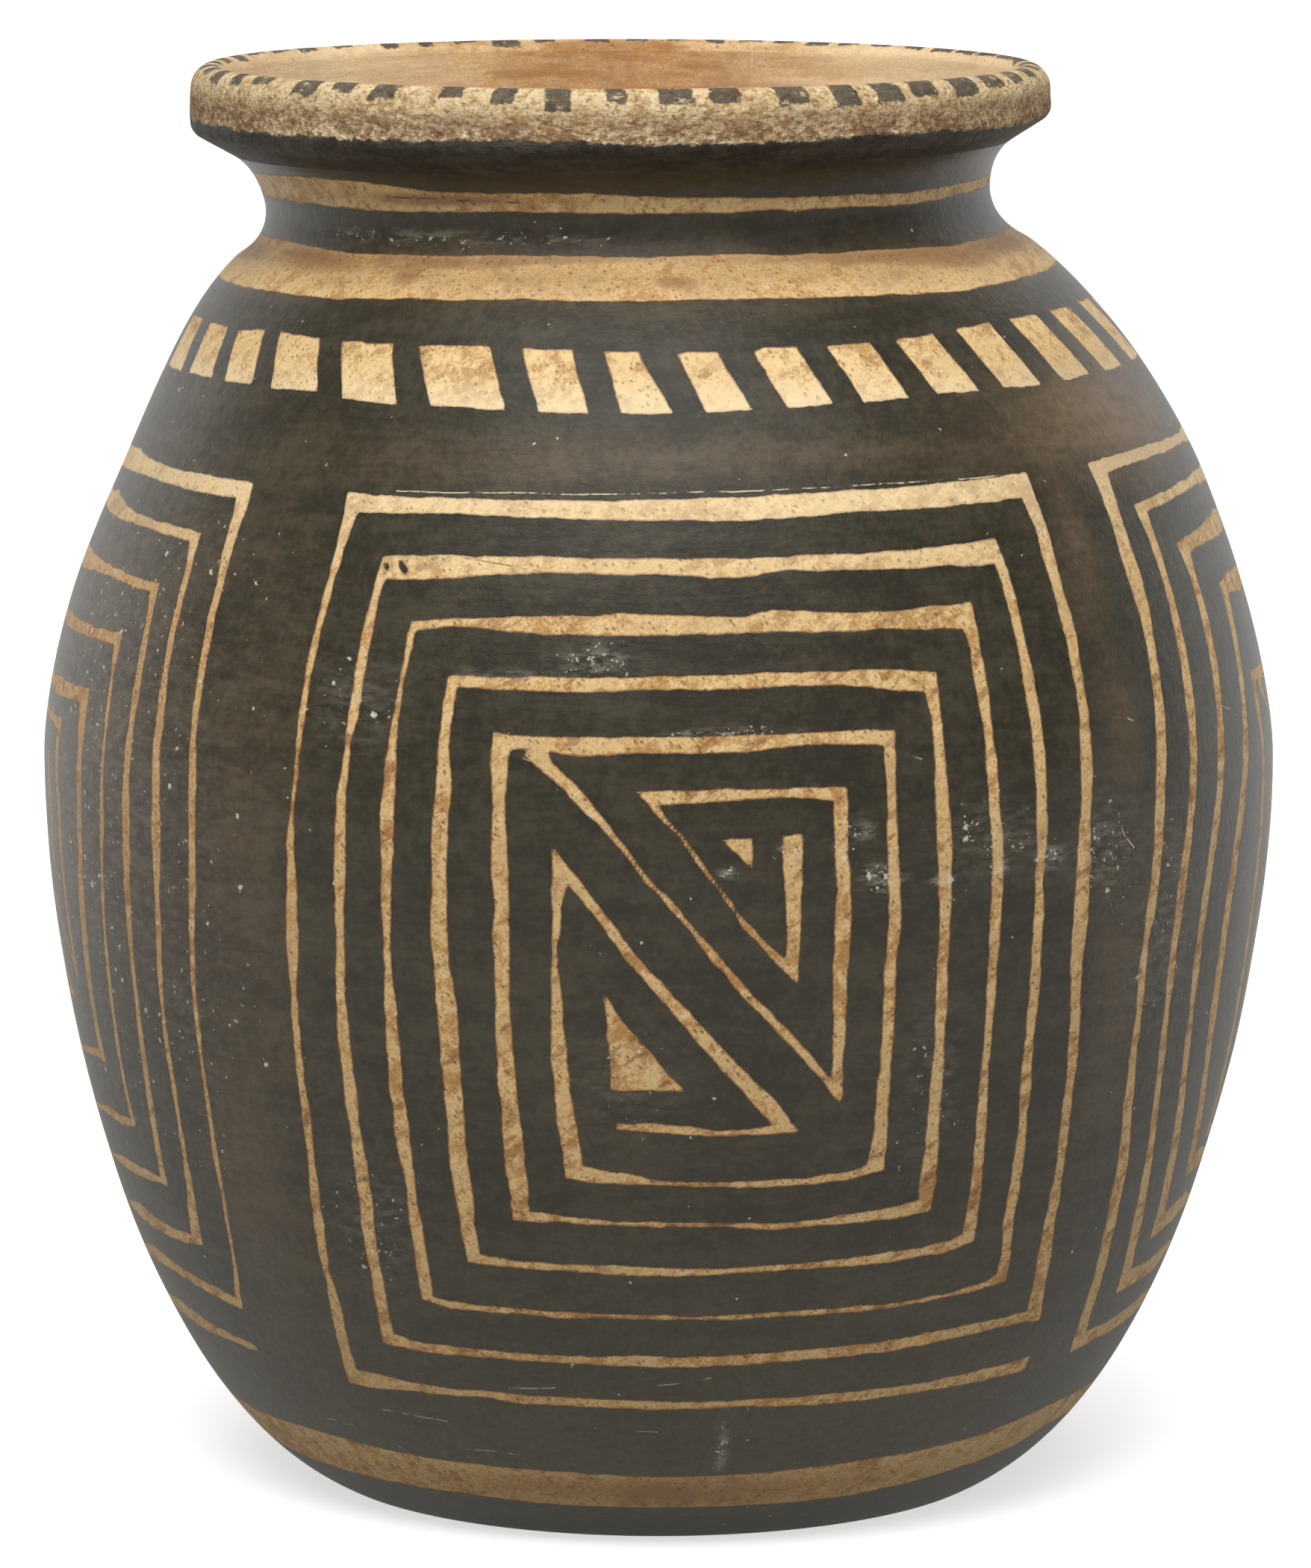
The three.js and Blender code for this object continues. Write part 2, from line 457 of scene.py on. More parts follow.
def calc(tree, operation, *values):
    """One sum, product or the like, as a Math node."""
    made = node(tree, "ShaderNodeMath", operation=operation)
    for value, socket in zip(values, made.inputs):
        put(tree, value, socket)
    return made.outputs[0]


def times(tree, first, second):
    """One value times another."""
    return calc(tree, "MULTIPLY", first, second)


def ease(tree, value, low, high, start=0.0, end=1.0):
    """A value taken smoothly from one range to another."""
    made = node(tree, "ShaderNodeMapRange", interpolation_type="SMOOTHSTEP")
    for given, name in ((value, 0), (low, 1), (high, 2), (start, 3), (end, 4)):
        put(tree, given, made.inputs[name])
    return made.outputs[0]


def parts_of(tree, vector):
    """The x, y and z of a vector."""
    made = node(tree, "ShaderNodeSeparateXYZ")
    put(tree, vector, made.inputs[0])
    return made.outputs


def noise(tree, where, scale, detail=2.0, rough=0.5, output=0):
    """A noise texture's value over a surface."""
    made = node(tree, "ShaderNodeTexNoise")
    put(tree, where, made.inputs["Vector"])
    put(tree, scale, made.inputs["Scale"])
    put(tree, detail, made.inputs["Detail"])
    put(tree, rough, made.inputs["Roughness"])
    return made.outputs[output]


def node_group(name, kind, inputs, outputs):
    """A new group of nodes with named sockets, what it is given, and what it puts out."""
    tree = bpy.data.node_groups.new(name, kind)
    for direction, sockets in (("INPUT", inputs), ("OUTPUT", outputs)):
        for socket_name, socket_kind, value in sockets:
            made = tree.interface.new_socket(
                socket_name, in_out=direction, socket_type="NodeSocket" + socket_kind
            )
            if value is not None:
                made.default_value = value
    return tree, node(tree, "NodeGroupInput").outputs, node(tree, "NodeGroupOutput").inputs


# Geometry Nodes tree that turns a piece's half section into a ring of clay. The section is a
# line of points in the plane of the axis; every point becomes one row of vertices.
ring_tree, given, result = node_group(
    "ring of clay",
    "GeometryNodeTree",
    (
        ("Section", "Geometry", None),
        ("Columns", "Int", columns),
        ("Rows", "Int", 10),
        ("Outer Rows", "Int", 5),
        ("Inner Start", "Int", 6),
        ("Closing Row", "Int", 1),
        ("Neck Lean", "Float", neck_lean * mm),
        ("Crease Tilt", "Float", crease_tilt),
        ("Hand Waves", "Float", 0.0005),
        ("Grit", "Float", 0.0),
        ("Outside", "Material", None),
        ("Inside", "Material", None),
        ("Joint", "Material", None),
    ),
    (("Ring", "Geometry", None),),
)
tree = ring_tree
grid = node(tree, "GeometryNodeMeshGrid")
put(tree, 1.0, grid.inputs["Size X"])
put(tree, 1.0, grid.inputs["Size Y"])
put(tree, calc(tree, "ADD", given["Columns"], 1), grid.inputs["Vertices X"])
put(tree, calc(tree, "ADD", given["Rows"], given["Closing Row"]), grid.inputs["Vertices Y"])
place = parts_of(tree, node(tree, "GeometryNodeInputPosition").outputs[0])
column = calc(tree, "ADD", place[0], 0.5)
column = calc(tree, "ROUND", times(tree, column, given["Columns"]))
last_row = calc(tree, "SUBTRACT", calc(tree, "ADD", given["Rows"], given["Closing Row"]), 1)
row = calc(tree, "ADD", place[1], 0.5)
row = calc(tree, "ROUND", times(tree, row, last_row))
marked = grid.outputs["Mesh"]
for mark, value in (("row", row), ("column", column)):
    store = node(tree, "GeometryNodeStoreNamedAttribute", data_type="FLOAT", domain="CORNER")
    put(tree, marked, store.inputs["Geometry"])
    put(tree, mark, store.inputs["Name"])
    put(tree, value, store.inputs["Value"])
    marked = store.outputs["Geometry"]

sample = node(tree, "GeometryNodeSampleIndex", data_type="FLOAT_VECTOR", domain="POINT")
put(tree, given["Section"], sample.inputs["Geometry"])
put(tree, node(tree, "GeometryNodeInputPosition").outputs[0], sample.inputs["Value"])
put(tree, calc(tree, "MODULO", row, given["Rows"]), sample.inputs["Index"])
radius, _, height = parts_of(tree, sample.outputs[0])

# Slow waves that hands and scraper left all round, and grit that lifts the rough lip
turn = times(tree, calc(tree, "DIVIDE", column, given["Columns"]), 2 * math.pi)
turn = calc(tree, "SUBTRACT", turn, math.pi)
east = calc(tree, "SINE", turn)
south = times(tree, calc(tree, "COSINE", turn), -1)
spot = node(tree, "ShaderNodeCombineXYZ")
put(tree, times(tree, east, radius), spot.inputs[0])
put(tree, times(tree, south, radius), spot.inputs[1])
put(tree, height, spot.inputs[2])
wave = calc(tree, "SUBTRACT", noise(tree, spot.outputs[0], 22.0, 1.5), 0.5)
wave = times(tree, wave, times(tree, given["Hand Waves"], 2))
wave = times(tree, wave, ease(tree, height, 0.002, 0.03))
wave = times(tree, wave, ease(tree, radius, 0.0, 0.03))
lump = calc(tree, "SUBTRACT", noise(tree, spot.outputs[0], 230.0, 3.0, 0.6), 0.56)
lump = times(tree, lump, times(tree, given["Grit"], 2))
lump = times(tree, lump, ease(tree, radius, flare_radius * mm, (lip_radius - 3) * mm))
out = calc(tree, "ADD", radius, calc(tree, "ADD", wave, lump))
x = times(tree, out, east)
y = times(tree, out, south)
dip = ease(tree, height, tilt_start * mm, (tilt_start + tilt_ease) * mm)
level_lip = ease(tree, height, lip_face_bottom * mm, pot_height * mm, 1.0, 0.0)
dip = times(tree, dip, level_lip)
rise = times(tree, times(tree, dip, given["Crease Tilt"]), x)
lean = ease(tree, height, lean_start * mm, (lean_start + lean_ease) * mm)
lean = times(tree, lean, given["Neck Lean"])
final = node(tree, "ShaderNodeCombineXYZ")
put(tree, calc(tree, "SUBTRACT", x, lean), final.inputs[0])
put(tree, y, final.inputs[1])
put(tree, calc(tree, "ADD", height, rise), final.inputs[2])
shaped = node(tree, "GeometryNodeSetPosition")
put(tree, marked, shaped.inputs["Geometry"])
put(tree, final.outputs[0], shaped.inputs["Position"])
welded = node(tree, "GeometryNodeMergeByDistance")
put(tree, shaped.outputs[0], welded.inputs["Geometry"])
put(tree, 0.000001, welded.inputs["Distance"])
dressed = node(tree, "GeometryNodeRealizeInstances")
put(tree, welded.outputs[0], dressed.inputs[0])
dressed = dressed.outputs[0]
face_row = node(tree, "GeometryNodeInputNamedAttribute", data_type="FLOAT")
put(tree, "row", face_row.inputs["Name"])
middle_row = node(tree, "GeometryNodeFieldOnDomain", data_type="FLOAT", domain="FACE")
put(tree, face_row.outputs[0], middle_row.inputs[0])
middle_row = middle_row.outputs[0]
is_outside = calc(tree, "LESS_THAN", middle_row, calc(tree, "SUBTRACT", given["Outer Rows"], 1))
is_inside = calc(tree, "GREATER_THAN", middle_row, given["Inner Start"])
before_joint = calc(tree, "LESS_THAN", middle_row, calc(tree, "SUBTRACT", given["Rows"], 1))
is_inside = times(tree, is_inside, before_joint)
for chosen, clay in ((1.0, "Joint"), (is_inside, "Inside"), (is_outside, "Outside")):
    dress = node(tree, "GeometryNodeSetMaterial")
    put(tree, dressed, dress.inputs["Geometry"])
    if chosen != 1.0:
        put(tree, chosen, dress.inputs["Selection"])
    put(tree, given[clay], dress.inputs["Material"])
    dressed = dress.outputs[0]
put(tree, dressed, result[0])


def colour(name):
    """A colour as it is written in a picture editor, as the red, green and blue of light."""
    parts = [int(name[i : i + 2], 16) / 255 for i in (0, 2, 4)]
    return tuple(p / 12.92 if p <= 0.04045 else ((p + 0.055) / 1.055) ** 2.4 for p in parts) + (1.0,)


def blend(tree, share, first, second):
    """Two colours mixed by a share."""
    made = node(tree, "ShaderNodeMix", data_type="RGBA")
    put(tree, share, made.inputs["Factor"])
    put(tree, first, made.inputs[6])
    put(tree, second, made.inputs[7])
    return made.outputs[2]


def spots(tree, where, scale, size, share):
    """Small round spots in some of the cells of a Voronoi texture, from 0 to 1."""
    cells = node(tree, "ShaderNodeTexVoronoi")
    put(tree, where, cells.inputs["Vector"])
    put(tree, scale, cells.inputs["Scale"])
    pick = node(tree, "ShaderNodeSeparateColor")
    put(tree, cells.outputs["Color"], pick.inputs[0])
    chosen = calc(tree, "LESS_THAN", pick.outputs[0], share)
    reach = times(tree, size, calc(tree, "ADD", 0.4, pick.outputs[1]))
    dot = ease(tree, cells.outputs["Distance"], times(tree, reach, 0.5), reach, 1.0, 0.0)
    return times(tree, dot, chosen)


def stretched(tree, across, up, slant=0.0):
    """Object coordinates scaled apart, so that a texture on them runs along or up the wall."""
    where = node(tree, "ShaderNodeTexCoord").outputs["Object"]
    if slant:
        leaning = node(tree, "ShaderNodeVectorRotate", rotation_type="Y_AXIS")
        put(tree, where, leaning.inputs["Vector"])
        put(tree, slant, leaning.inputs["Angle"])
        where = leaning.outputs[0]
    mapping = node(tree, "ShaderNodeMapping")
    put(tree, where, mapping.inputs["Vector"])
    put(tree, (across, across, up), mapping.inputs["Scale"])
    return mapping.outputs[0]


# Brush edge: turns the distance from the edge of the paint into a mask whose edge wanders and
# frays as a yucca brush leaves it
brush_edge, given, result = node_group(
    "brush edge",
    "ShaderNodeTree",
    (
        ("Distance", "Float", 0.0),
        ("Wander", "Float", 0.3),
        ("Fray", "Float", 0.12),
        ("Soft", "Float", 0.12),
    ),
    (("Bare", "Float", None), ("Edge", "Float", None)),
)
tree = brush_edge
where = stretched(tree, 1.0, 1.0)
wander = calc(tree, "SUBTRACT", noise(tree, where, 210.0, 2.0, 0.55), 0.5)
fray = calc(tree, "SUBTRACT", noise(tree, where, 1000.0, 2.0, 0.6), 0.5)
wander_width = times(tree, given["Wander"], 2)
edge = calc(tree, "MULTIPLY_ADD", wander, wander_width, given["Distance"])
edge = calc(tree, "MULTIPLY_ADD", fray, times(tree, given["Fray"], 2), edge)
bare = ease(tree, edge, times(tree, given["Soft"], -1), given["Soft"])
put(tree, bare, result[0])
put(tree, edge, result[1])

# Buff slip: tan clay with a grain of paler and browner spots, brown along the paint, with pin
# holes and short level streaks where the polishing stone dragged, and pale ones that are painted glints
buff_slip, given, result = node_group(
    "buff slip",
    "ShaderNodeTree",
    (
        ("Pale", "Color", colour("eccb8f")),
        ("Deep", "Color", colour("b4854a")),
        ("Brown", "Color", colour("835028")),
        ("Edge", "Float", far_off),
        ("Stain", "Float", 0.0),
        ("Pin Holes", "Float", 0.4),
        ("Streaks", "Float", 1.0),
    ),
    (("Color", "Color", None), ("Height", "Float", None)),
)
tree = buff_slip
where = stretched(tree, 1.0, 1.0)
mottle = noise(tree, where, 300.0, 6.0, 0.72)
grain = noise(tree, where, 1700.0, 2.0, 0.6)
patch = noise(tree, stretched(tree, 1.0, 1.5), 42.0, 3.0, 0.6)
drag = noise(tree, stretched(tree, 1.0, 4.0, 0.6), 120.0, 4.0, 0.65)
tone = calc(tree, "MULTIPLY_ADD", grain, 0.25, times(tree, mottle, 0.62))
tone = calc(tree, "MULTIPLY_ADD", patch, 0.3, tone)
slip = blend(tree, ease(tree, tone, 0.48, 0.665), given["Deep"], given["Pale"])
brown = times(tree, ease(tree, drag, 0.52, 0.66, 0.0, 0.6), given["Streaks"])
smudge = calc(tree, "MULTIPLY_ADD", mottle, 0.7, times(tree, patch, 0.5))
smudge = ease(tree, calc(tree, "MULTIPLY_ADD", given["Stain"], 0.36, smudge), 0.62, 0.9, 0.0, 0.75)
beside = calc(tree, "MULTIPLY_ADD", patch, -0.35, given["Edge"])
beside = ease(tree, beside, -0.15, 0.25, 0.85, 0.0)
brown = calc(tree, "MAXIMUM", calc(tree, "MAXIMUM", brown, smudge), beside)
slip = blend(tree, brown, slip, given["Brown"])
# Painted highlight: pale glints of light along the drag streaks, put into the colour
painted_glint = times(tree, ease(tree, drag, 0.42, 0.32, 0.0, 0.3), given["Streaks"])
slip = blend(tree, painted_glint, slip, colour("f0dab0"))
holes = spots(tree, stretched(tree, 1.0, 0.5, 0.6), 1200.0, 0.33, given["Pin Holes"])
slip = blend(tree, times(tree, holes, 0.5), slip, colour("5d4630"))
put(tree, slip, result[0])
tall = calc(tree, "MULTIPLY_ADD", grain, 0.3, times(tree, mottle, 0.8))
put(tree, calc(tree, "MULTIPLY_ADD", holes, -0.7, tall), result[1])

# Dark paint: boiled plant and iron, brown-black, laid on in long level strokes. It is rustier on
# the shoulder, lighter near the foot and browner where it is thin
dark_paint, given, result = node_group(
    "dark paint",
    "ShaderNodeTree",
    (
        ("Deep", "Color", colour("292616")),
        ("Thin", "Color", colour("423c2b")),
        ("Worn", "Color", colour("7a6347")),
        ("Near Foot", "Color", colour("66614f")),
        ("Stain", "Float", 0.0),
    ),
    (("Color", "Color", None), ("Height", "Float", None)),
)
tree = dark_paint
where = stretched(tree, 1.0, 1.0)
strokes = noise(tree, stretched(tree, 1.0, 7.0), 34.0, 4.0, 0.6)
rubbed = noise(tree, stretched(tree, 1.0, 9.0), 110.0, 3.0, 0.6)
cloud = noise(tree, where, 60.0, 5.0, 0.65)
fine = noise(tree, where, 900.0, 2.0, 0.6)
thin = calc(tree, "MULTIPLY_ADD", strokes, 0.45, times(tree, cloud, 0.45))
thin = calc(tree, "MULTIPLY_ADD", rubbed, 0.2, calc(tree, "MULTIPLY_ADD", fine, 0.3, thin))
leathery = calc(tree, "SUBTRACT", noise(tree, where, 330.0, 5.0, 0.75), 0.43)
thin = calc(tree, "MULTIPLY_ADD", leathery, 0.6, thin)
coat = blend(tree, ease(tree, thin, 0.62, 0.92), given["Deep"], given["Thin"])
level = parts_of(tree, where)[2]
rust = ease(tree, noise(tree, where, 420.0, 4.0, 0.7), 0.54, 0.74)
rust = times(tree, rust, ease(tree, level, 0.14, 0.19, 0.3, 0.55))
coat = blend(tree, rust, coat, colour("553f30"))
worn = times(tree, given["Stain"], ease(tree, thin, 0.5, 0.95, 0.35, 1.0))
coat = blend(tree, worn, coat, given["Worn"])
# Lighter towards the foot
low = ease(tree, level, 0.0, 0.075, 0.55, 0.0)
low = times(tree, low, ease(tree, fine, 0.2, 0.6, 0.5, 1.0))
coat = blend(tree, low, coat, given["Near Foot"])
put(tree, coat, result[0])
tall = calc(tree, "MULTIPLY_ADD", fine, 0.2, times(tree, cloud, 0.3))
tall = calc(tree, "MULTIPLY_ADD", rubbed, 0.3, calc(tree, "MULTIPLY_ADD", leathery, 0.9, tall))
put(tree, tall, result[1])

# Chalk: crumbs of white dust caught in the burnish, few and far between but for the dusty places
chalk_dust, given, result = node_group(
    "chalk dust",
    "ShaderNodeTree",
    (("Dust", "Float", 0.0), ("Few", "Float", 0.03)),
    (("Chalk", "Float", None),),
)
tree = chalk_dust
where = stretched(tree, 1.0, 1.0)
warp = noise(tree, where, 900.0, 2.0, 0.6, "Color")
crooked = node(tree, "ShaderNodeVectorMath", operation="MULTIPLY_ADD")
put(tree, warp, crooked.inputs[0])
put(tree, (0.0014, 0.0014, 0.0014), crooked.inputs[1])
put(tree, where, crooked.inputs[2])
crumbs = spots(tree, crooked.outputs[0], 480.0, 0.13, given["Few"])
thick = calc(tree, "POWER", given["Dust"], 1.5)
coarse = spots(tree, crooked.outputs[0], 700.0, 0.42, times(tree, thick, 0.7))
fine = spots(tree, crooked.outputs[0], 1500.0, 0.45, thick)
crumbs = calc(tree, "MAXIMUM", crumbs, coarse)
crumbs = calc(tree, "MAXIMUM", crumbs, times(tree, fine, 0.7))
veil = noise(tree, stretched(tree, 1.0, 3.0), 260.0, 5.0, 0.7)
veil = ease(tree, veil, 0.44, 0.62, 0.0, 0.55)
veil = times(tree, veil, given["Dust"])
put(tree, calc(tree, "MAXIMUM", crumbs, veil), result[0])

# Scratch: a thin broken line, chalky or dark, along the middle of a stored distance
scratch_line, given, result = node_group(
    "scratch",
    "ShaderNodeTree",
    (("Distance", "Float", far_off), ("Depth", "Float", 0.0), ("Width", "Float", 0.16)),
    (("Chalk", "Float", None), ("Dark", "Float", None)),
)
tree = scratch_line
where = stretched(tree, 1.0, 1.0)
shift = calc(tree, "SUBTRACT", noise(tree, where, 130.0, 3.0, 0.6), 0.5)
off = calc(tree, "ABSOLUTE", calc(tree, "MULTIPLY_ADD", shift, 0.9, given["Distance"]))
line = ease(tree, off, times(tree, given["Width"], 0.5), given["Width"], 1.0, 0.0)
broken = ease(tree, noise(tree, where, 260.0, 3.0, 0.7), 0.42, 0.56)
line = times(tree, line, broken)
for number, sign in ((0, 1.0), (1, -1.0)):
    depth = calc(tree, "MAXIMUM", times(tree, given["Depth"], sign), 0.0)
    put(tree, times(tree, depth, line), result[number])

# Wiped by hand: level smoothing marks in a slip, browner in the middle of the pot's width, a
# painted shade, and paler to both sides, painted light on the inner side walls
hand_wiped, given, result = node_group(
    "wiped by hand",
    "ShaderNodeTree",
    (
        ("Slip", "Color", colour("e6c596")),
        ("Painted Side Light", "Color", colour("f3dfb8")),
        ("Brown", "Color", colour("96683c")),
        ("Neck Lean", "Float", neck_lean * mm),
    ),
    (("Color", "Color", None), ("Strokes", "Float", None)),
)
tree = hand_wiped
across = parts_of(tree, stretched(tree, 1.0, 1.0))[0]
across = calc(tree, "ABSOLUTE", calc(tree, "ADD", across, given["Neck Lean"]))
# Painted light: paler towards both sides of the inner wall, and painted shade in the middle, where the brown
# smears gather
painted_side_light = ease(tree, across, 0.01, 0.055)
strokes = noise(tree, stretched(tree, 1.0, 7.0), 45.0, 4.0, 0.65)
smears = ease(tree, strokes, 0.4, 0.62, 0.15, 0.75)
smears = times(tree, smears, calc(tree, "MULTIPLY_ADD", painted_side_light, -0.7, 1.0))
coat = blend(tree, times(tree, painted_side_light, 0.5), given["Slip"], given["Painted Side Light"])
put(tree, blend(tree, smears, coat, given["Brown"]), result[0])
put(tree, strokes, result[1])


def group(tree, inner, **values):
    """Places a shader group in a material and gives its inputs their values."""
    made = node(tree, "ShaderNodeGroup", node_tree=inner)
    for name, value in values.items():
        put(tree, value, made.inputs[name.replace("_", " ")])
    return made.outputs


def reading(tree, name):
    """The value of a named attribute."""
    return node(tree, "ShaderNodeAttribute", attribute_name=name).outputs["Fac"]


def surface(name, specular):
    """A new material, and its tree and shader."""
    made = bpy.data.materials.new(name)
    made.use_nodes = True
    shader = made.node_tree.nodes["Principled BSDF"]
    shader.inputs["Specular IOR Level"].default_value = specular
    return made, made.node_tree, shader


def raise_surface(tree, shader, height, depth):
    """Feeds a height to the shader's normal through a Bump node. The depth is in metres."""
    bump = node(tree, "ShaderNodeBump")
    put(tree, 1.0, bump.inputs["Strength"])
    put(tree, depth, bump.inputs["Distance"])
    put(tree, height, bump.inputs["Height"])
    put(tree, bump.outputs[0], shader.inputs["Normal"])


# The painted wall: slip where the paint was left off, paint elsewhere, both polished with a stone
painted, tree, shader = surface("painted and burnished slip", specular=0.68)
stain, dusty = reading(tree, "stain"), reading(tree, "dust")
brushed = group(tree, brush_edge, Distance=reading(tree, "bare_slip"), Wander=0.5, Fray=0.16, Soft=0.1)
scratch = group(tree, scratch_line, Distance=reading(tree, "scratch"), Depth=reading(tree, "scratch_depth"))
# The slip has fewer brown streaks on the shoulder, and is painted paler there up to the windows
# as a painted highlight. Below the belly it is browner, as painted shade
level = parts_of(tree, stretched(tree, 1.0, 1.0))[2]
upper = ease(tree, level, 0.15, 0.195)
dragged = calc(tree, "MULTIPLY_ADD", upper, -0.5, ease(tree, level, 0.025, 0.06, 0.7, 1.1))
# Real stains, plus painted shade that browns the slip below a height of 17 cm
stain_and_low_shade = calc(tree, "ADD", stain, ease(tree, level, 0.17, 0.19, 0.15, 0.0))
slip = group(tree, buff_slip, Edge=brushed["Edge"], Stain=stain_and_low_shade, Streaks=dragged)
# Painted highlight: the slip is blended to a pale cream between 17 and 21 cm up, where the lamp above lights
# it most
painted_highlight = ease(tree, level, 0.208, 0.214, 0.45, 0.05)
painted_highlight = times(tree, ease(tree, level, 0.168, 0.2), painted_highlight)
slip_colour = blend(tree, painted_highlight, slip["Color"], colour("f8e4ba"))
paint = group(tree, dark_paint, Stain=stain)
chalk = group(tree, chalk_dust, Dust=dusty)
coat = blend(tree, brushed["Bare"], paint["Color"], slip_colour)
coat = blend(tree, scratch["Chalk"], coat, colour("cdbf9f"))
coat = blend(tree, times(tree, chalk["Chalk"], 0.8), coat, colour("ddd5c2"))
coat = blend(tree, scratch["Dark"], coat, colour("3b2c1f"))
put(tree, coat, shader.inputs["Base Color"])
put(tree, calc(tree, "MULTIPLY_ADD", brushed["Bare"], 0.12, 0.42), shader.inputs["Roughness"])
tall = times(tree, brushed["Bare"], slip["Height"])
painted_part = calc(tree, "SUBTRACT", 1.0, brushed["Bare"])
tall = calc(tree, "MULTIPLY_ADD", painted_part, calc(tree, "ADD", paint["Height"], 0.3), tall)
raise_surface(tree, shader, tall, depth=0.0002)

# The inside: the same slip, wiped on by hand, with level smoothing marks and brown patches
wiped, tree, shader = surface("wiped inner slip", specular=0.25)
inner_pale, inner_deep = colour("e6c596"), colour("b98c58")
inner_slip = group(tree, buff_slip, Pale=inner_pale, Deep=inner_deep, Pin_Holes=0.0, Stain=0.45, Streaks=0.6)
marks = group(tree, hand_wiped, Slip=inner_slip["Color"])
put(tree, marks["Color"], shader.inputs["Base Color"])
put(tree, ease(tree, marks["Strokes"], 0.2, 0.8, 0.85, 0.7), shader.inputs["Roughness"])
tall = calc(tree, "MULTIPLY_ADD", marks["Strokes"], 1.2, inner_slip["Height"])
raise_surface(tree, shader, tall, depth=0.0003)

# Bare clay where one lump meets the next
raw, tree, shader = surface("bare fired clay", specular=0.2)
speckle = noise(tree, stretched(tree, 1.0, 1.0), 900.0, 3.0, 0.6)
clay = blend(tree, ease(tree, speckle, 0.35, 0.7), colour("8d6a4b"), colour("b08a62"))
put(tree, clay, shader.inputs["Base Color"])
put(tree, ease(tree, speckle, 0.3, 0.7, 0.95, 0.85), shader.inputs["Roughness"])
raise_surface(tree, shader, speckle, depth=0.0002)


def map_layout(mesh, outer_rows, inner_start, rows, outer_height, inner_height, around):
    """Lays the ring out flat on the piece's own map: its outer face in several strips, its inner
    face in two narrower ones, and the joint faces in one thin strip each."""
    counts = len(mesh.loops)
    across, up = np.zeros(counts, np.float32), np.zeros(counts, np.float32)
    mesh.attributes["column"].data.foreach_get("value", across)
    mesh.attributes["row"].data.foreach_get("value", up)
    starts, sizes = np.zeros((2, len(mesh.polygons)), np.int32)
    mesh.polygons.foreach_get("loop_start", starts)
    mesh.polygons.foreach_get("loop_total", sizes)
    owner = np.repeat(np.arange(len(sizes)), sizes)
    first_column = np.minimum.reduceat(across, starts)[owner]
    first_row = np.minimum.reduceat(up, starts)[owner]
    gap = 0.006
    margin = 0.004
    narrowed = 0.4
    joint_height, joint_pitch, joints_share = 0.01, 0.016, 0.05
    faces_share = 0.9
    most_strips = 8
    strips = 1
    for tried in range(1, most_strips + 1):
        scale = 1 / (around / tried)
        needed = tried * (outer_height * scale + gap)
        needed += 2 * (inner_height * scale * narrowed + gap) + joints_share
        if needed < 1:
            strips = tried
    scale = faces_share / (strips * outer_height + 2 * narrowed * inner_height)
    scale = min(1.0 / (around / strips), scale)
    is_outer = first_row < outer_rows - 1
    is_inner = (first_row >= inner_start) & (first_row < rows - 1)
    tall_outer, tall_inner = outer_height * scale, inner_height * scale * narrowed
    u, v = np.zeros(counts), np.zeros(counts)
    per_strip = columns / strips
    strip = np.floor(first_column / per_strip)
    u[is_outer] = ((across - strip * per_strip) / per_strip)[is_outer]
    v[is_outer] = (strip * (tall_outer + gap) + up / (outer_rows - 1) * tall_outer)[is_outer]
    base = strips * (tall_outer + gap)
    half = np.floor(first_column / (columns / 2))
    inner_share = (up - inner_start) / max(1, rows - 1 - inner_start)
    u[is_inner] = ((across - half * columns / 2) / (columns / 2))[is_inner]
    v[is_inner] = (base + half * (tall_inner + gap) + inner_share * tall_inner)[is_inner]
    base += 2 * (tall_inner + gap)
    rest = ~(is_outer | is_inner)
    closing = (first_row >= rows - 1).astype(float)
    u[rest] = (across / columns)[rest]
    v[rest] = (base + closing * joint_pitch + (up - first_row) * joint_height)[rest]
    flat = margin + np.column_stack([u, v]) * (1 - 2 * margin)
    flat = flat.astype(np.float32)
    mesh.uv_layers.new(name="OFBake").data.foreach_set("uv", flat.ravel())


sharp_from = math.radians(40)


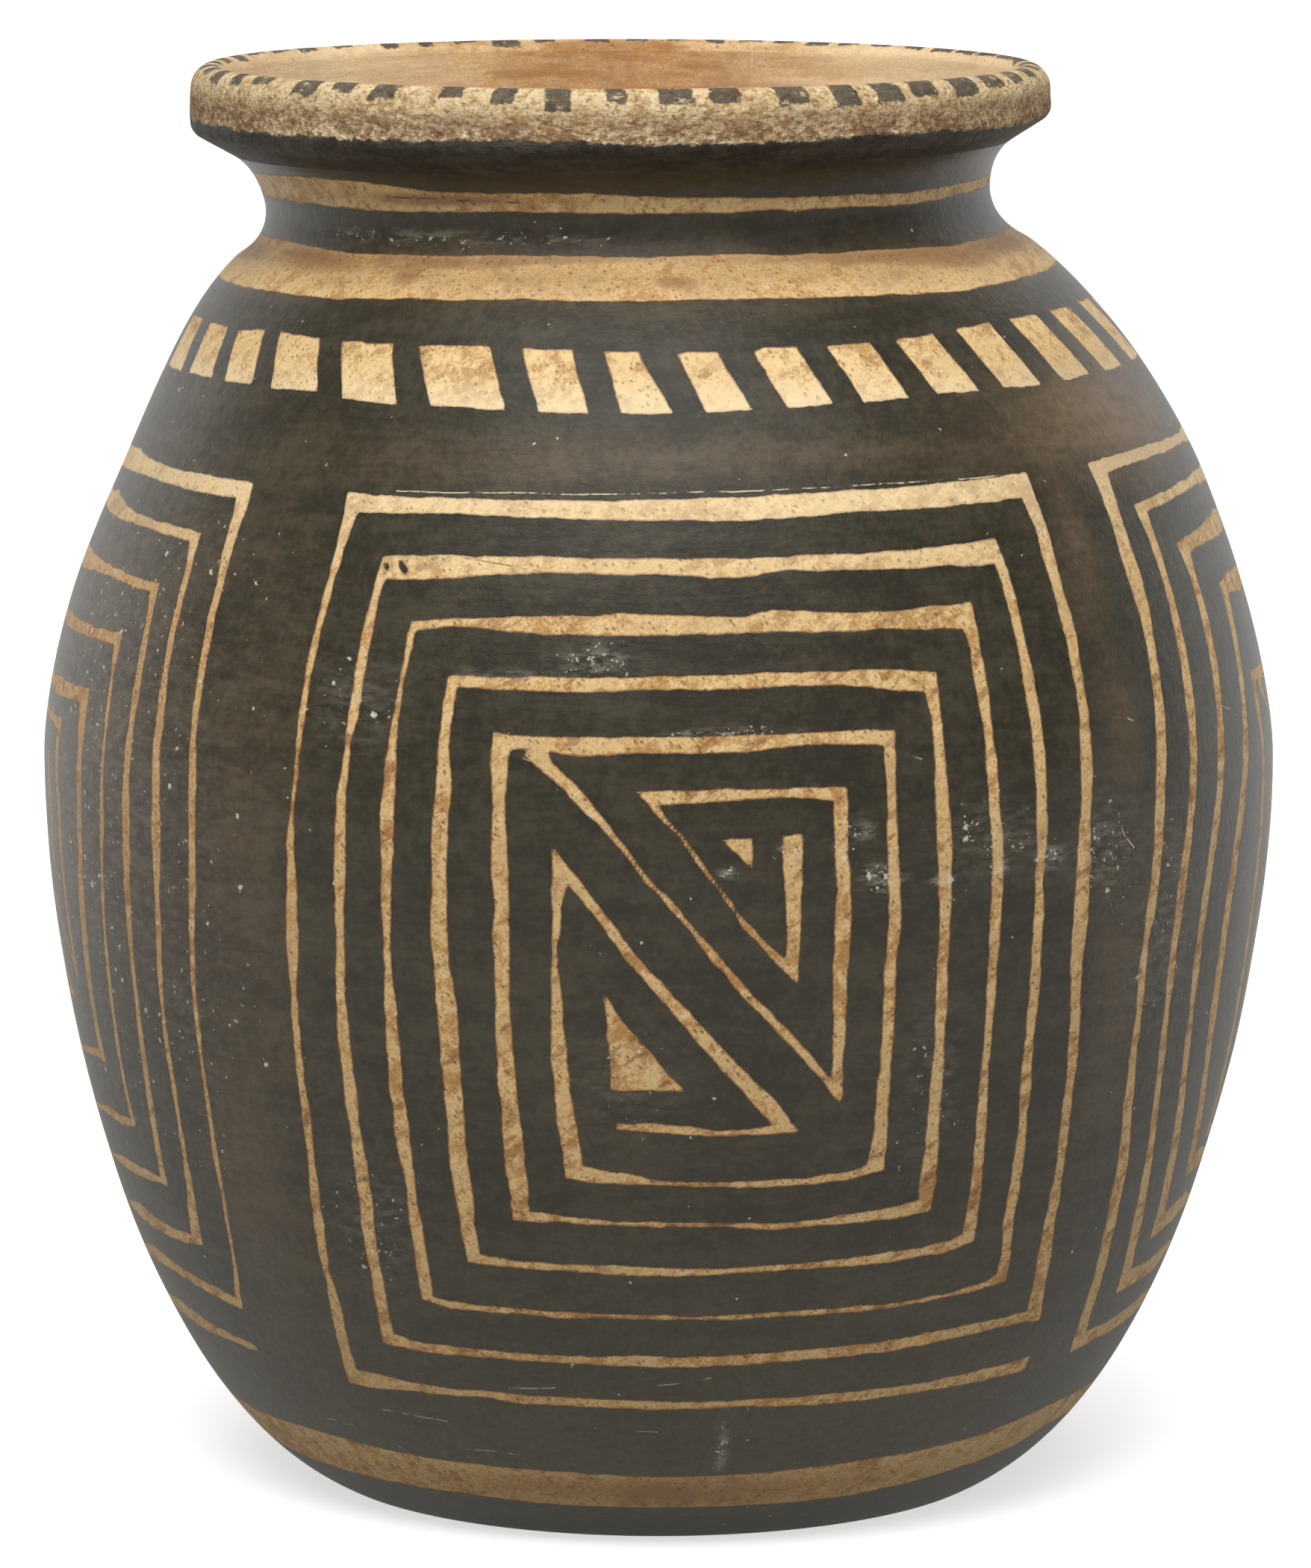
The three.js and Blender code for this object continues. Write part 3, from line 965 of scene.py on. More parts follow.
def clay_ring(name, outer, inner, lengths, materials, waves=0.5, grit=0.0, closing=1, rolled=0):
    """A ring of clay from its outer face, bottom to top, and its inner face, top to bottom. It
    takes the place of the model's node of the same name. Where it is rolled over, the inner
    face goes on from the outer one without a joint."""
    section = np.vstack([outer, inner])
    inner_start = len(outer) - rolled
    line = bpy.data.meshes.new(name + " section")
    line.from_pydata([(r * mm, 0.0, z * mm) for r, z in section], [], [])
    piece = bpy.data.objects.new(name + "_finished", line)
    bpy.context.scene.collection.objects.link(piece)
    turned = piece.modifiers.new("ring of clay", "NODES")
    turned.node_group = ring_tree
    named = {s.name: s.identifier for s in ring_tree.interface.items_tree}
    for socket_name, value in (
        ("Rows", len(section)),
        ("Outer Rows", len(outer)),
        ("Inner Start", inner_start),
        ("Closing Row", closing),
        ("Hand Waves", waves * mm),
        ("Grit", grit * mm),
        ("Outside", materials[0]),
        ("Inside", materials[1]),
        ("Joint", materials[2]),
    ):
        turned[named[socket_name]] = value
    bpy.context.view_layer.update()
    shaped = bpy.data.meshes.new_from_object(piece.evaluated_get(bpy.context.evaluated_depsgraph_get()))
    piece.modifiers.clear()
    piece.data = shaped
    bpy.data.meshes.remove(line)
    shaped.name = piece.name

    corners = np.zeros(len(shaped.loops), np.int32)
    shaped.loops.foreach_get("vertex_index", corners)
    place = np.zeros((2, len(shaped.vertices)), int)
    for spot, mark, period in ((0, "row", len(section)), (1, "column", columns)):
        values = np.zeros(len(corners), np.float32)
        shaped.attributes[mark].data.foreach_get("value", values)
        place[spot, corners] = np.rint(values).astype(int) % period
    offset, depth = scratched(lengths)
    for mark, values, elsewhere in (
        ("bare_slip", bare_slip(lengths), far_off),
        ("stain", soft_marks(stains, lengths), 0.0),
        ("dust", soft_marks(dust, lengths), 0.0),
        ("scratch", offset, far_off),
        ("scratch_depth", depth, 0.0),
    ):
        values = np.vstack([values, np.full((len(section) - len(lengths), columns), elsewhere)])
        made = shaped.attributes.new(mark, "FLOAT", "POINT")
        made.data.foreach_set("value", values[place[0], place[1]].astype(np.float32))
    shaped.polygons.foreach_set("use_smooth", np.ones(len(shaped.polygons), bool))
    shaped.set_sharp_from_angle(angle=sharp_from)
    map_layout(
        shaped,
        len(outer),
        inner_start,
        len(section),
        lengths_along(outer)[-1],
        lengths_along(inner)[-1],
        2 * math.pi * outer[:, 0].max(),
    )
    for used in ("row", "column"):
        shaped.attributes.remove(shaped.attributes[used])
    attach(piece, "root")
    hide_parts(name)


clays = (painted, wiped, raw)
foot_rows = 9
floor_rows = 13
foot_radii = np.linspace(0, foot_radius, foot_rows + 1)[:-1]
under_foot = np.column_stack([foot_radii, np.zeros(foot_rows)])
base_outer = np.vstack([under_foot, stretch(body_line, 0, base_wall_length, row_step)])
base_lengths = np.linspace(0, base_wall_length, len(base_outer) - foot_rows)
base_lengths = np.concatenate([np.zeros(foot_rows), base_lengths])
base_inner = inside_stretch(base_wall_length - lap_length, 0, inner_row_step)
base_inner = base_inner[base_inner[:, 0] > 1]
floor_radii = np.linspace(base_inner[-1, 0], 0, floor_rows + 1)[1:]
floor_line = np.column_stack([floor_radii, np.full(floor_rows, floor_thickness)])
base_inner = np.vstack([base_inner, floor_line])
clay_ring("base_disc", base_outer, base_inner, base_lengths, clays, closing=0)


# Wall coils
# Twelve rolls of clay, each laid on the slanted edge of the one below, pinched thin and scraped
# smooth, so no joint shows. The slip and paint go over all of them: a row of slanting windows
# on the shoulder, and four squared spirals round the belly, left bare between dark strokes.
coil_length = (body_length - base_wall_length) / wall_coils

# The buff band above the foot: a stripe of slip that the paint leaves bare
foot_band_top = [
    (352, 1892), (400, 1908), (460, 1926), (520, 1942), (600, 1956), (700, 1967), (800, 1974),
    (870, 1978), (960, 1976), (1060, 1968), (1160, 1955), (1240, 1940), (1320, 1918), (1400, 1883),
    (1450, 1858),
]
foot_band_bottom = [
    (395, 1940), (440, 1962), (500, 1979), (560, 1991), (640, 2003), (720, 2013), (800, 2019),
    (870, 2021), (960, 2020), (1060, 2013), (1140, 2002), (1220, 1985), (1300, 1960), (1360, 1935),
    (1400, 1908),
]
bands.append((edge_all_round(foot_band_bottom), edge_all_round(foot_band_top)))

# The shoulder's buff band, over the windows
shoulder_band_bottom = [
    (290, 372), (330, 385), (380, 393), (450, 401), (540, 400), (600, 402), (700, 401), (800, 404),
    (880, 403), (1000, 400), (1100, 399), (1200, 395), (1280, 391), (1340, 380), (1400, 362), (1422, 355),
]
shoulder_band_top = [
    (350, 313), (380, 320), (420, 330), (460, 338), (520, 341), (600, 342), (700, 342), (800, 344),
    (880, 345), (910, 342), (1000, 340), (1100, 340), (1160, 335), (1220, 332), (1280, 329), (1310, 321),
    (1338, 300),
]
bands.append((edge_all_round(shoulder_band_bottom), edge_all_round(shoulder_band_top)))

# Corners of the windows that the photograph shows, from the top left one round to the right
windows = [
    [(261, 421), (273, 426), (243, 496), (227, 489)],
    [(282, 431), (305, 437), (283, 506), (253, 499)],
    [(318, 441), (355, 441), (337, 515), (300, 511)],
    [(375, 442), (393, 449), (428, 452), (424, 524), (362, 520)],
    [(457, 456), (526, 460), (531, 542), (457, 534)],
    [(560, 462), (657, 463), (676, 549), (575, 544)],
    [(699, 466), (766, 468), (788, 554), (721, 551)],
    [(809, 471), (855, 471), (902, 554), (832, 554)],
    [(906, 474), (920, 471), (961, 471), (1008, 549), (946, 553)],
    [(1008, 471), (1023, 465), (1067, 464), (1117, 541), (1055, 546)],
    [(1106, 463), (1164, 458), (1218, 533), (1157, 539)],
    [(1197, 455), (1248, 447), (1311, 523), (1256, 528)],
    [(1278, 440), (1325, 432), (1395, 515), (1344, 519)],
    [(1349, 426), (1386, 420), (1459, 501), (1424, 509)],
    [(1404, 415), (1431, 410), (1503, 489), (1480, 497)],
    [(1444, 404), (1456, 398), (1524, 472), (1516, 482)],
]
shapes += [on_wall(corners) for corners in windows]

# The windows that the photograph doesn't show follow at the same pitch round the back
chance = np.random.default_rng(7)
window_pitch = math.radians(10.6)
first_hidden = on_wall(windows[-1][:1])[0, 0] + window_pitch
last_hidden = shapes[0][:, 0].min() + 2 * math.pi - 1.25 * window_pitch
hidden_windows = int(round((last_hidden - first_hidden) / window_pitch))
seen_well = shapes[2:14]
window_top = np.mean([s[:2, 1].mean() for s in seen_well])
window_bottom = np.mean([s[-2:, 1].mean() for s in seen_well])
for left in np.linspace(first_hidden, last_hidden, hidden_windows + 1):
    wide = window_pitch * chance.uniform(0.56, 0.72)
    slant = window_pitch * chance.uniform(0.25, 0.6)
    nudge = chance.uniform(-0.4, 0.4, 4)
    shapes.append(
        np.array(
            [
                (left, window_top + nudge[0]),
                (left + wide, window_top + nudge[1]),
                (left + wide + slant, window_bottom + nudge[2]),
                (left + slant, window_bottom + nudge[3]),
            ]
        )
    )

# The squared spiral on the front, from its free end at the bottom right, inwards: bottom, left
# side, top, right side, and so on. Each stroke has the pixels of its middle line and its width.
front = {
    "bottom_1": [
        (1375, 1826, 13), (1300, 1845, 13), (1200, 1863, 12), (1120, 1873, 14), (1000, 1879, 10),
        (900, 1883, 11), (760, 1877, 11), (700, 1874, 13), (650, 1867, 9), (600, 1864, 10),
        (550, 1857, 12), (510, 1850, 19), (474, 1843, 18),
    ],
    "left_1": [
        (474, 1843, 15), (461, 1800, 13), (453, 1759, 14), (444, 1720, 10), (437, 1700, 9),
        (428, 1640, 13), (422, 1590, 11), (415, 1530, 9), (409, 1480, 11), (403, 1440, 11),
        (397, 1380, 9), (394, 1330, 10), (392, 1270, 16), (391, 1190, 14), (389, 1130, 10),
        (391, 1095, 6), (397, 1040, 6), (401, 990, 8), (408, 940, 10), (414, 900, 9), (423, 860, 9),
        (433, 820, 10), (443, 780, 10), (454, 740, 11), (462, 710, 13), (472, 673, 18),
    ],
    "top_1": [
        (472, 673, 26), (540, 676, 22), (620, 678, 21), (740, 682, 25), (860, 683, 27),
        (980, 682, 31), (1080, 676, 32), (1140, 671, 29), (1200, 668, 30), (1280, 661, 32),
        (1372, 650, 31),
    ],
    "right_1": [
        (1372, 650, 17), (1380, 672, 17), (1395, 705, 16), (1404, 740, 16), (1418, 790, 15),
        (1434, 850, 15), (1444, 905, 14), (1452, 960, 13), (1455, 1020, 16), (1454, 1100, 15),
        (1453, 1150, 18), (1450, 1200, 19), (1447, 1240, 20), (1441, 1290, 17), (1440, 1330, 14),
        (1438, 1380, 14), (1433, 1440, 12), (1426, 1500, 11), (1418, 1570, 11), (1413, 1600, 12),
        (1405, 1640, 14), (1399, 1680, 16), (1392, 1720, 15), (1384, 1763, 17),
    ],
    "bottom_2": [
        (1384, 1763, 13), (1360, 1766, 11), (1300, 1780, 12), (1240, 1793, 14), (1180, 1804, 13),
        (1100, 1812, 14), (1000, 1821, 14), (900, 1825, 14), (860, 1823, 15), (800, 1822, 12),
        (720, 1819, 11), (640, 1812, 10), (570, 1805, 13), (520, 1793, 16),
    ],
    "left_2": [
        (520, 1793, 17), (513, 1755, 15), (507, 1715, 15), (501, 1690, 14), (493, 1640, 16),
        (489, 1600, 17), (483, 1560, 17), (475, 1505, 13), (471, 1475, 17), (465, 1425, 16),
        (459, 1370, 17), (456, 1330, 12), (456, 1270, 11), (455, 1210, 13), (455, 1150, 17),
        (456, 1100, 14), (458, 1060, 13), (463, 1025, 9), (466, 995, 9), (473, 960, 14),
        (480, 920, 14), (486, 880, 14), (494, 840, 13), (502, 805, 11), (509, 778, 13), (516, 760, 16),
    ],
    "top_2": [
        (516, 760, 31), (590, 759, 33), (640, 758, 27), (730, 756, 21), (800, 758, 22),
        (850, 759, 24), (880, 758, 21), (930, 760, 24), (990, 761, 27), (1060, 754, 20),
        (1160, 752, 23), (1240, 747, 25), (1333, 738, 34),
    ],
    "right_2": [
        (1333, 738, 15), (1344, 765, 14), (1354, 800, 13), (1368, 860, 13), (1380, 920, 15),
        (1388, 970, 15), (1392, 1010, 17), (1395, 1080, 15), (1396, 1130, 15), (1392, 1180, 12),
        (1392, 1215, 14), (1388, 1270, 13), (1384, 1335, 14), (1379, 1385, 12), (1374, 1440, 15),
        (1370, 1500, 11), (1364, 1560, 14), (1357, 1600, 13), (1350, 1640, 13), (1348, 1680, 12),
        (1342, 1711, 13),
    ],
    "bottom_3": [
        (1342, 1711, 11), (1320, 1721, 8), (1280, 1732, 6), (1200, 1748, 6), (1120, 1755, 7),
        (1040, 1760, 7), (960, 1765, 7), (880, 1764, 5), (800, 1762, 6), (740, 1761, 9),
        (700, 1756, 7), (650, 1753, 9), (600, 1747, 10), (573, 1738, 11),
    ],
    "left_3": [
        (573, 1738, 17), (566, 1700, 17), (559, 1650, 16), (551, 1600, 13), (548, 1575, 13),
        (540, 1535, 20), (537, 1500, 19), (531, 1460, 18), (527, 1400, 18), (523, 1350, 16),
        (520, 1300, 12), (518, 1255, 10), (517, 1210, 14), (518, 1150, 16), (518, 1085, 19),
        (523, 1025, 15), (527, 980, 10), (533, 945, 7), (537, 920, 5), (545, 880, 9), (551, 850, 9),
        (555, 838, 11),
    ],
    "top_3": [
        (555, 838, 14), (600, 833, 11), (640, 834, 14), (700, 836, 21), (730, 837, 27),
        (780, 838, 26), (830, 836, 30), (900, 838, 28), (1000, 836, 22), (1035, 832, 30),
        (1100, 833, 28), (1180, 831, 24), (1240, 828, 30), (1296, 824, 34),
    ],
    "right_3": [
        (1296, 824, 19), (1303, 850, 16), (1309, 885, 15), (1318, 935, 17), (1324, 980, 13),
        (1328, 1020, 16), (1332, 1090, 14), (1336, 1125, 16), (1336, 1190, 16), (1331, 1255, 15),
        (1328, 1310, 14), (1325, 1360, 11), (1319, 1430, 10), (1314, 1500, 15), (1310, 1560, 13),
        (1305, 1605, 14), (1297, 1658, 17),
    ],
    "bottom_4": [
        (1297, 1658, 15), (1270, 1670, 13), (1200, 1683, 13), (1140, 1690, 12), (1080, 1695, 9),
        (1000, 1700, 7), (960, 1703, 9), (900, 1704, 10), (840, 1702, 14), (780, 1699, 10),
        (700, 1694, 10), (655, 1688, 12), (635, 1685, 14),
    ],
    "left_4": [
        (635, 1685, 19), (627, 1645, 19), (622, 1605, 24), (614, 1560, 25), (610, 1500, 22),
        (606, 1455, 25), (601, 1390, 26), (597, 1340, 27), (591, 1295, 21), (588, 1255, 25),
        (588, 1200, 21), (588, 1140, 22), (590, 1090, 21), (594, 1045, 20), (594, 1000, 15),
        (599, 950, 15), (606, 912, 16),
    ],
    "top_4": [
        (606, 912, 16), (650, 914, 17), (720, 916, 19), (780, 918, 20), (850, 915, 18),
        (930, 914, 20), (1000, 912, 21), (1060, 909, 18), (1120, 909, 19), (1160, 909, 23),
        (1200, 911, 28), (1247, 914, 26),
    ],
    "right_4": [
        (1247, 914, 20), (1254, 955, 15), (1259, 1010, 16), (1262, 1070, 18), (1265, 1120, 21),
        (1266, 1190, 17), (1265, 1240, 15), (1261, 1320, 16), (1258, 1400, 14), (1255, 1440, 17),
        (1250, 1495, 16), (1247, 1540, 18), (1242, 1585, 23), (1239, 1614, 18),
    ],
    "bottom_5": [
        (1239, 1614, 19), (1200, 1624, 17), (1140, 1632, 14), (1080, 1639, 8), (1030, 1643, 9),
        (1000, 1641, 6), (960, 1640, 4), (900, 1640, 7), (840, 1639, 6), (780, 1636, 8),
        (740, 1631, 10), (698, 1629, 13),
    ],
    "left_5": [
        (698, 1629, 22), (694, 1590, 26), (688, 1535, 28), (684, 1495, 23), (678, 1440, 24),
        (673, 1370, 22), (672, 1305, 19), (671, 1245, 25), (672, 1215, 20), (669, 1170, 24),
        (668, 1125, 22), (668, 1080, 17), (668, 1035, 24), (671, 992, 24),
    ],
    "top_5": [
        (671, 992, 24), (690, 993, 18), (740, 997, 20), (790, 1000, 26), (830, 998, 23),
        (900, 998, 21), (960, 997, 23), (1020, 994, 21), (1080, 989, 17), (1160, 987, 19),
        (1191, 989, 22),
    ],
    "right_5": [
        (1191, 989, 16), (1194, 1040, 13), (1195, 1100, 15), (1197, 1160, 15), (1198, 1230, 18),
        (1194, 1275, 15), (1191, 1330, 17), (1188, 1400, 16), (1183, 1450, 17), (1180, 1500, 18),
        (1176, 1540, 22), (1172, 1564, 24),
    ],
    "bottom_6": [
        (1172, 1564, 13), (1140, 1574, 11), (1080, 1582, 10), (1000, 1586, 9), (940, 1586, 7),
        (880, 1584, 8), (840, 1579, 14), (800, 1575, 19), (768, 1570, 22),
    ],
    "left_6": [
        (768, 1570, 25), (765, 1540, 24), (758, 1500, 26), (753, 1460, 22), (749, 1420, 23),
        (746, 1370, 18), (745, 1330, 14), (743, 1295, 9), (742, 1268, 5), (745, 1245, 12),
        (746, 1215, 14), (748, 1192, 19), (748, 1155, 21),
    ],
    "slope_1": [
        (748, 1155, 16), (800, 1222, 14), (850, 1288, 14), (880, 1321, 17), (940, 1389, 20),
        (1000, 1452, 21), (1030, 1483, 24), (1053, 1511, 22),
    ],
    "bottom_7": [
        (1053, 1511, 14), (1020, 1515, 11), (1000, 1516, 9), (960, 1518, 9), (930, 1515, 13),
        (880, 1511, 13), (825, 1509, 10),
    ],
}

# The inner figure, which hangs from the fifth top line: down a slope, up, back and down again
front_inner = {
    "slope_2": [
        (714, 1000, 40), (733, 1028, 19), (760, 1051, 15), (783, 1077, 17), (803, 1099, 11),
        (838, 1140, 8), (867, 1180, 9), (890, 1202, 10), (923, 1240, 9), (955, 1280, 11),
        (973, 1300, 9), (1007, 1340, 11), (1030, 1362, 13), (1067, 1400, 12), (1095, 1432, 12),
        (1120, 1462, 13),
    ],
    "side_up": [
        (1120, 1462, 18), (1122, 1420, 16), (1124, 1370, 17), (1125, 1310, 20), (1129, 1240, 21),
        (1131, 1190, 20), (1127, 1145, 19), (1126, 1095, 20), (1126, 1063, 18),
    ],
    "line_back": [
        (1126, 1063, 20), (1080, 1062, 14), (1040, 1062, 14), (1000, 1064, 14), (965, 1065, 17),
        (910, 1068, 18), (866, 1069, 19),
    ],
    "slope_3": [
        (866, 1069, 12), (892, 1100, 7), (912, 1120, 6), (938, 1158, 6), (970, 1200, 7),
        (999, 1240, 8), (1019, 1260, 11), (1037, 1280, 12), (1061, 1303, 12),
    ],
    "wedge": [(1061, 1303, 17), (1062, 1275, 17), (1063, 1240, 21), (1063, 1190, 25), (1061, 1117, 29)],
}
small_triangle = [(965, 1124), (1008, 1122), (1008, 1165)]
solid_triangle = [
    (808, 1328), (832, 1363), (861, 1398), (899, 1442), (920, 1462), (860, 1461), (817, 1461),
    (816, 1420), (812, 1385),
]

# The right-hand side of the left spiral, and the left-hand side of the right one, as they show
left_seen = {
    "bottom_1": [
        (346, 1806, 6), (328, 1799, 6), (308, 1790, 6), (283, 1779, 6), (262, 1765, 6), (247, 1753, 5),
    ],
    "top_1": [
        (170, 603, 20), (180, 615, 20), (200, 626, 22), (240, 640, 22), (280, 649, 24), (327, 657, 24),
    ],
    "right_1": [
        (327, 657, 19), (322, 682, 16), (313, 710, 12), (304, 740, 11), (295, 783, 10), (285, 822, 10),
        (278, 860, 10), (272, 890, 11), (266, 930, 9), (261, 970, 8), (259, 1000, 8), (258, 1050, 11),
        (257, 1100, 11), (257, 1150, 9), (257, 1200, 9), (256, 1250, 7), (258, 1300, 6), (261, 1340, 6),
        (266, 1380, 6), (274, 1440, 5), (283, 1500, 6), (288, 1540, 5), (299, 1600, 5), (309, 1660, 4),
        (316, 1700, 5), (321, 1746, 8),
    ],
    "bottom_2": [(321, 1746, 9), (288, 1729, 8), (257, 1712, 6), (227, 1692, 5), (212, 1680, 5)],
    "top_2": [
        (152, 670, 15), (162, 683, 16), (182, 694, 14), (200, 700, 14), (240, 713, 15), (262, 719, 14),
    ],
    "right_2": [
        (262, 719, 13), (256, 745, 9), (252, 767, 9), (245, 790, 9), (240, 812, 7), (231, 850, 8),
        (224, 890, 8), (218, 930, 10), (214, 970, 11), (209, 1000, 10), (209, 1050, 10), (208, 1100, 12),
        (209, 1150, 11), (210, 1200, 7), (212, 1240, 7), (213, 1280, 6), (217, 1340, 5), (224, 1400, 6),
        (234, 1460, 6), (240, 1500, 5), (246, 1540, 6), (253, 1580, 8), (258, 1620, 10), (264, 1660, 12),
    ],
    "bottom_3": [(264, 1660, 9), (247, 1657, 9), (222, 1646, 7), (204, 1634, 7), (191, 1622, 6)],
    "top_3": [(116, 745, 15), (130, 755, 15), (150, 765, 14), (180, 779, 14), (208, 786, 14)],
    "right_3": [
        (208, 786, 10), (203, 815, 7), (197, 850, 8), (190, 880, 9), (185, 900, 9), (180, 930, 9),
        (174, 970, 8), (171, 1000, 9), (170, 1050, 9), (171, 1100, 11), (171, 1150, 9), (171, 1200, 7),
        (174, 1250, 7), (176, 1300, 5), (181, 1340, 6), (190, 1400, 6), (198, 1450, 7), (206, 1500, 7),
        (214, 1550, 6), (219, 1581, 7),
    ],
    "bottom_4": [(219, 1581, 6), (207, 1577, 6), (187, 1568, 6), (169, 1557, 5)],
    "top_4": [(99, 834, 13), (115, 842, 15), (135, 850, 17), (158, 855, 17)],
    "right_4": [
        (158, 855, 9), (154, 880, 6), (150, 900, 4), (144, 940, 5), (141, 970, 4), (139, 1000, 4),
        (137, 1050, 4), (136, 1100, 6), (137, 1150, 4), (138, 1200, 4), (141, 1250, 4), (144, 1300, 4),
        (150, 1350, 4), (157, 1400, 4), (166, 1450, 4), (173, 1480, 4), (178, 1504, 5),
    ],
    "bottom_5": [(178, 1504, 5), (161, 1499, 5), (148, 1488, 4)],
    "top_5": [(80, 918, 13), (95, 926, 17), (113, 930, 20)],
    "right_5": [
        (113, 930, 11), (110, 975, 9), (107, 1000, 7), (105, 1050, 7), (106, 1100, 6), (107, 1150, 6),
        (110, 1200, 7), (113, 1250, 7), (117, 1300, 6), (125, 1350, 5), (133, 1400, 5), (137, 1415, 6),
    ],
    "bottom_6": [(137, 1415, 5), (129, 1409, 4)],
}
right_seen = {
    "bottom_1": [(1528, 1741, 6), (1510, 1758, 6), (1490, 1773, 7), (1470, 1784, 8), (1443, 1798, 12)],
    "left_1": [
        (1443, 1798, 11), (1454, 1760, 10), (1468, 1720, 11), (1478, 1680, 11), (1487, 1640, 12),
        (1494, 1600, 13), (1502, 1560, 13), (1507, 1520, 12), (1510, 1480, 13), (1514, 1450, 10),
        (1519, 1400, 9), (1526, 1350, 9), (1530, 1300, 10), (1535, 1260, 8), (1542, 1220, 12),
        (1547, 1180, 11), (1551, 1140, 12), (1553, 1100, 13), (1554, 1050, 13), (1555, 1000, 14),
        (1551, 930, 13), (1546, 890, 12), (1541, 860, 12), (1534, 820, 15), (1523, 780, 19),
        (1510, 740, 18), (1499, 705, 15), (1487, 670, 16), (1470, 626, 20),
    ],
    "top_1": [(1470, 626, 18), (1500, 616, 17), (1540, 603, 16), (1570, 591, 14), (1580, 586, 13)],
    "bottom_2": [(1560, 1673, 6), (1545, 1691, 8), (1528, 1703, 8), (1504, 1717, 12)],
    "left_2": [
        (1504, 1717, 10), (1512, 1680, 9), (1523, 1640, 11), (1532, 1600, 9), (1539, 1550, 8),
        (1545, 1500, 8), (1550, 1450, 7), (1557, 1400, 9), (1563, 1350, 7), (1569, 1300, 9),
        (1574, 1260, 9), (1580, 1220, 10), (1586, 1180, 10), (1592, 1140, 10), (1594, 1100, 8),
        (1595, 1050, 10), (1595, 1000, 10), (1595, 940, 12), (1590, 900, 11), (1583, 860, 11),
        (1574, 818, 10), (1565, 785, 9), (1553, 750, 9), (1541, 718, 10), (1529, 680, 13),
    ],
    "top_2": [(1529, 680, 14), (1550, 670, 14), (1575, 656, 13), (1600, 640, 12)],
    "bottom_3": [(1584, 1609, 6), (1573, 1621, 7), (1560, 1633, 8), (1550, 1641, 10)],
    "left_3": [
        (1550, 1641, 9), (1561, 1600, 8), (1571, 1550, 9), (1579, 1500, 9), (1584, 1450, 7),
        (1590, 1400, 8), (1597, 1350, 6), (1603, 1300, 9), (1609, 1250, 8), (1617, 1200, 10),
        (1625, 1150, 8), (1629, 1100, 10), (1632, 1050, 9), (1634, 1000, 10), (1634, 960, 8),
        (1632, 920, 9), (1624, 870, 9), (1615, 830, 9), (1606, 798, 9), (1595, 768, 9), (1586, 733, 13),
    ],
    "top_3": [(1586, 733, 16), (1610, 715, 15), (1630, 698, 15)],
    "bottom_4": [(1604, 1551, 5), (1595, 1559, 6)],
    "left_4": [
        (1595, 1559, 6), (1601, 1530, 6), (1607, 1500, 7), (1613, 1450, 6), (1621, 1400, 7),
        (1627, 1350, 9), (1633, 1300, 8), (1639, 1250, 8), (1650, 1200, 8), (1658, 1150, 8),
        (1663, 1100, 8), (1665, 1050, 8), (1667, 1000, 8), (1667, 965, 6), (1663, 915, 6),
        (1658, 870, 6), (1651, 835, 6), (1643, 805, 7), (1638, 788, 9),
    ],
    "top_4": [(1638, 788, 12), (1650, 778, 12), (1660, 769, 12)],
}


# The two dots of paint in the left end of the second top line
for x, y, wide, tall, tilt in ((518, 759, 3.5, 5.5, 0.3), (540, 760, 5, 11, 0.5)):
    turn = np.linspace(0, 2 * math.pi, 12, endpoint=False)
    across, up = wide * np.cos(turn), tall * np.sin(turn)
    dot_x = x + across * math.cos(tilt) - up * math.sin(tilt)
    dot_y = y - across * math.sin(tilt) - up * math.cos(tilt)
    painted_dots.append(on_wall(np.column_stack([dot_x, dot_y])))

# Brown stains and thin paint: pixel, half width and height, and strength
stains += [
    (430, 350, 80, 20, 0.75), (540, 352, 60, 16, 0.8), (640, 350, 60, 18, 0.6), (800, 346, 120, 12, 0.4),
    (980, 346, 90, 12, 0.5), (1130, 346, 80, 14, 0.6), (1250, 342, 70, 18, 0.8), (1340, 328, 50, 18, 0.9),
    (340, 336, 40, 20, 0.7), (870, 375, 600, 30, 0.4), (1440, 720, 22, 110, 0.6),
    (1500, 960, 20, 120, 0.38), (1480, 560, 90, 70, 1.0), (320, 1150, 60, 380, 0.3),
    (345, 1600, 50, 160, 0.35), (1490, 1350, 26, 200, 0.3), (600, 268, 90, 6, 1.0),
    (870, 620, 500, 34, 0.32), (130, 1000, 110, 450, 0.3), (570, 365, 50, 20, 0.5),
    (700, 374, 44, 12, 0.35), (905, 380, 50, 9, 0.5), (1080, 372, 60, 12, 0.5), (1200, 366, 60, 12, 0.4),
    (450, 375, 40, 12, 0.5), (420, 345, 60, 12, 0.9), (1290, 345, 60, 14, 0.9), (700, 348, 240, 8, 0.6),
    (1080, 346, 160, 8, 0.6), (548, 366, 20, 18, 1.0), (590, 352, 60, 9, 1.0), (668, 350, 40, 7, 1.0),
    (905, 378, 30, 10, 0.9), (1190, 344, 60, 8, 1.0), (1130, 348, 30, 10, 0.9),
    (870, 1998, 260, 16, 0.45), (1130, 1985, 60, 14, 0.3),
]
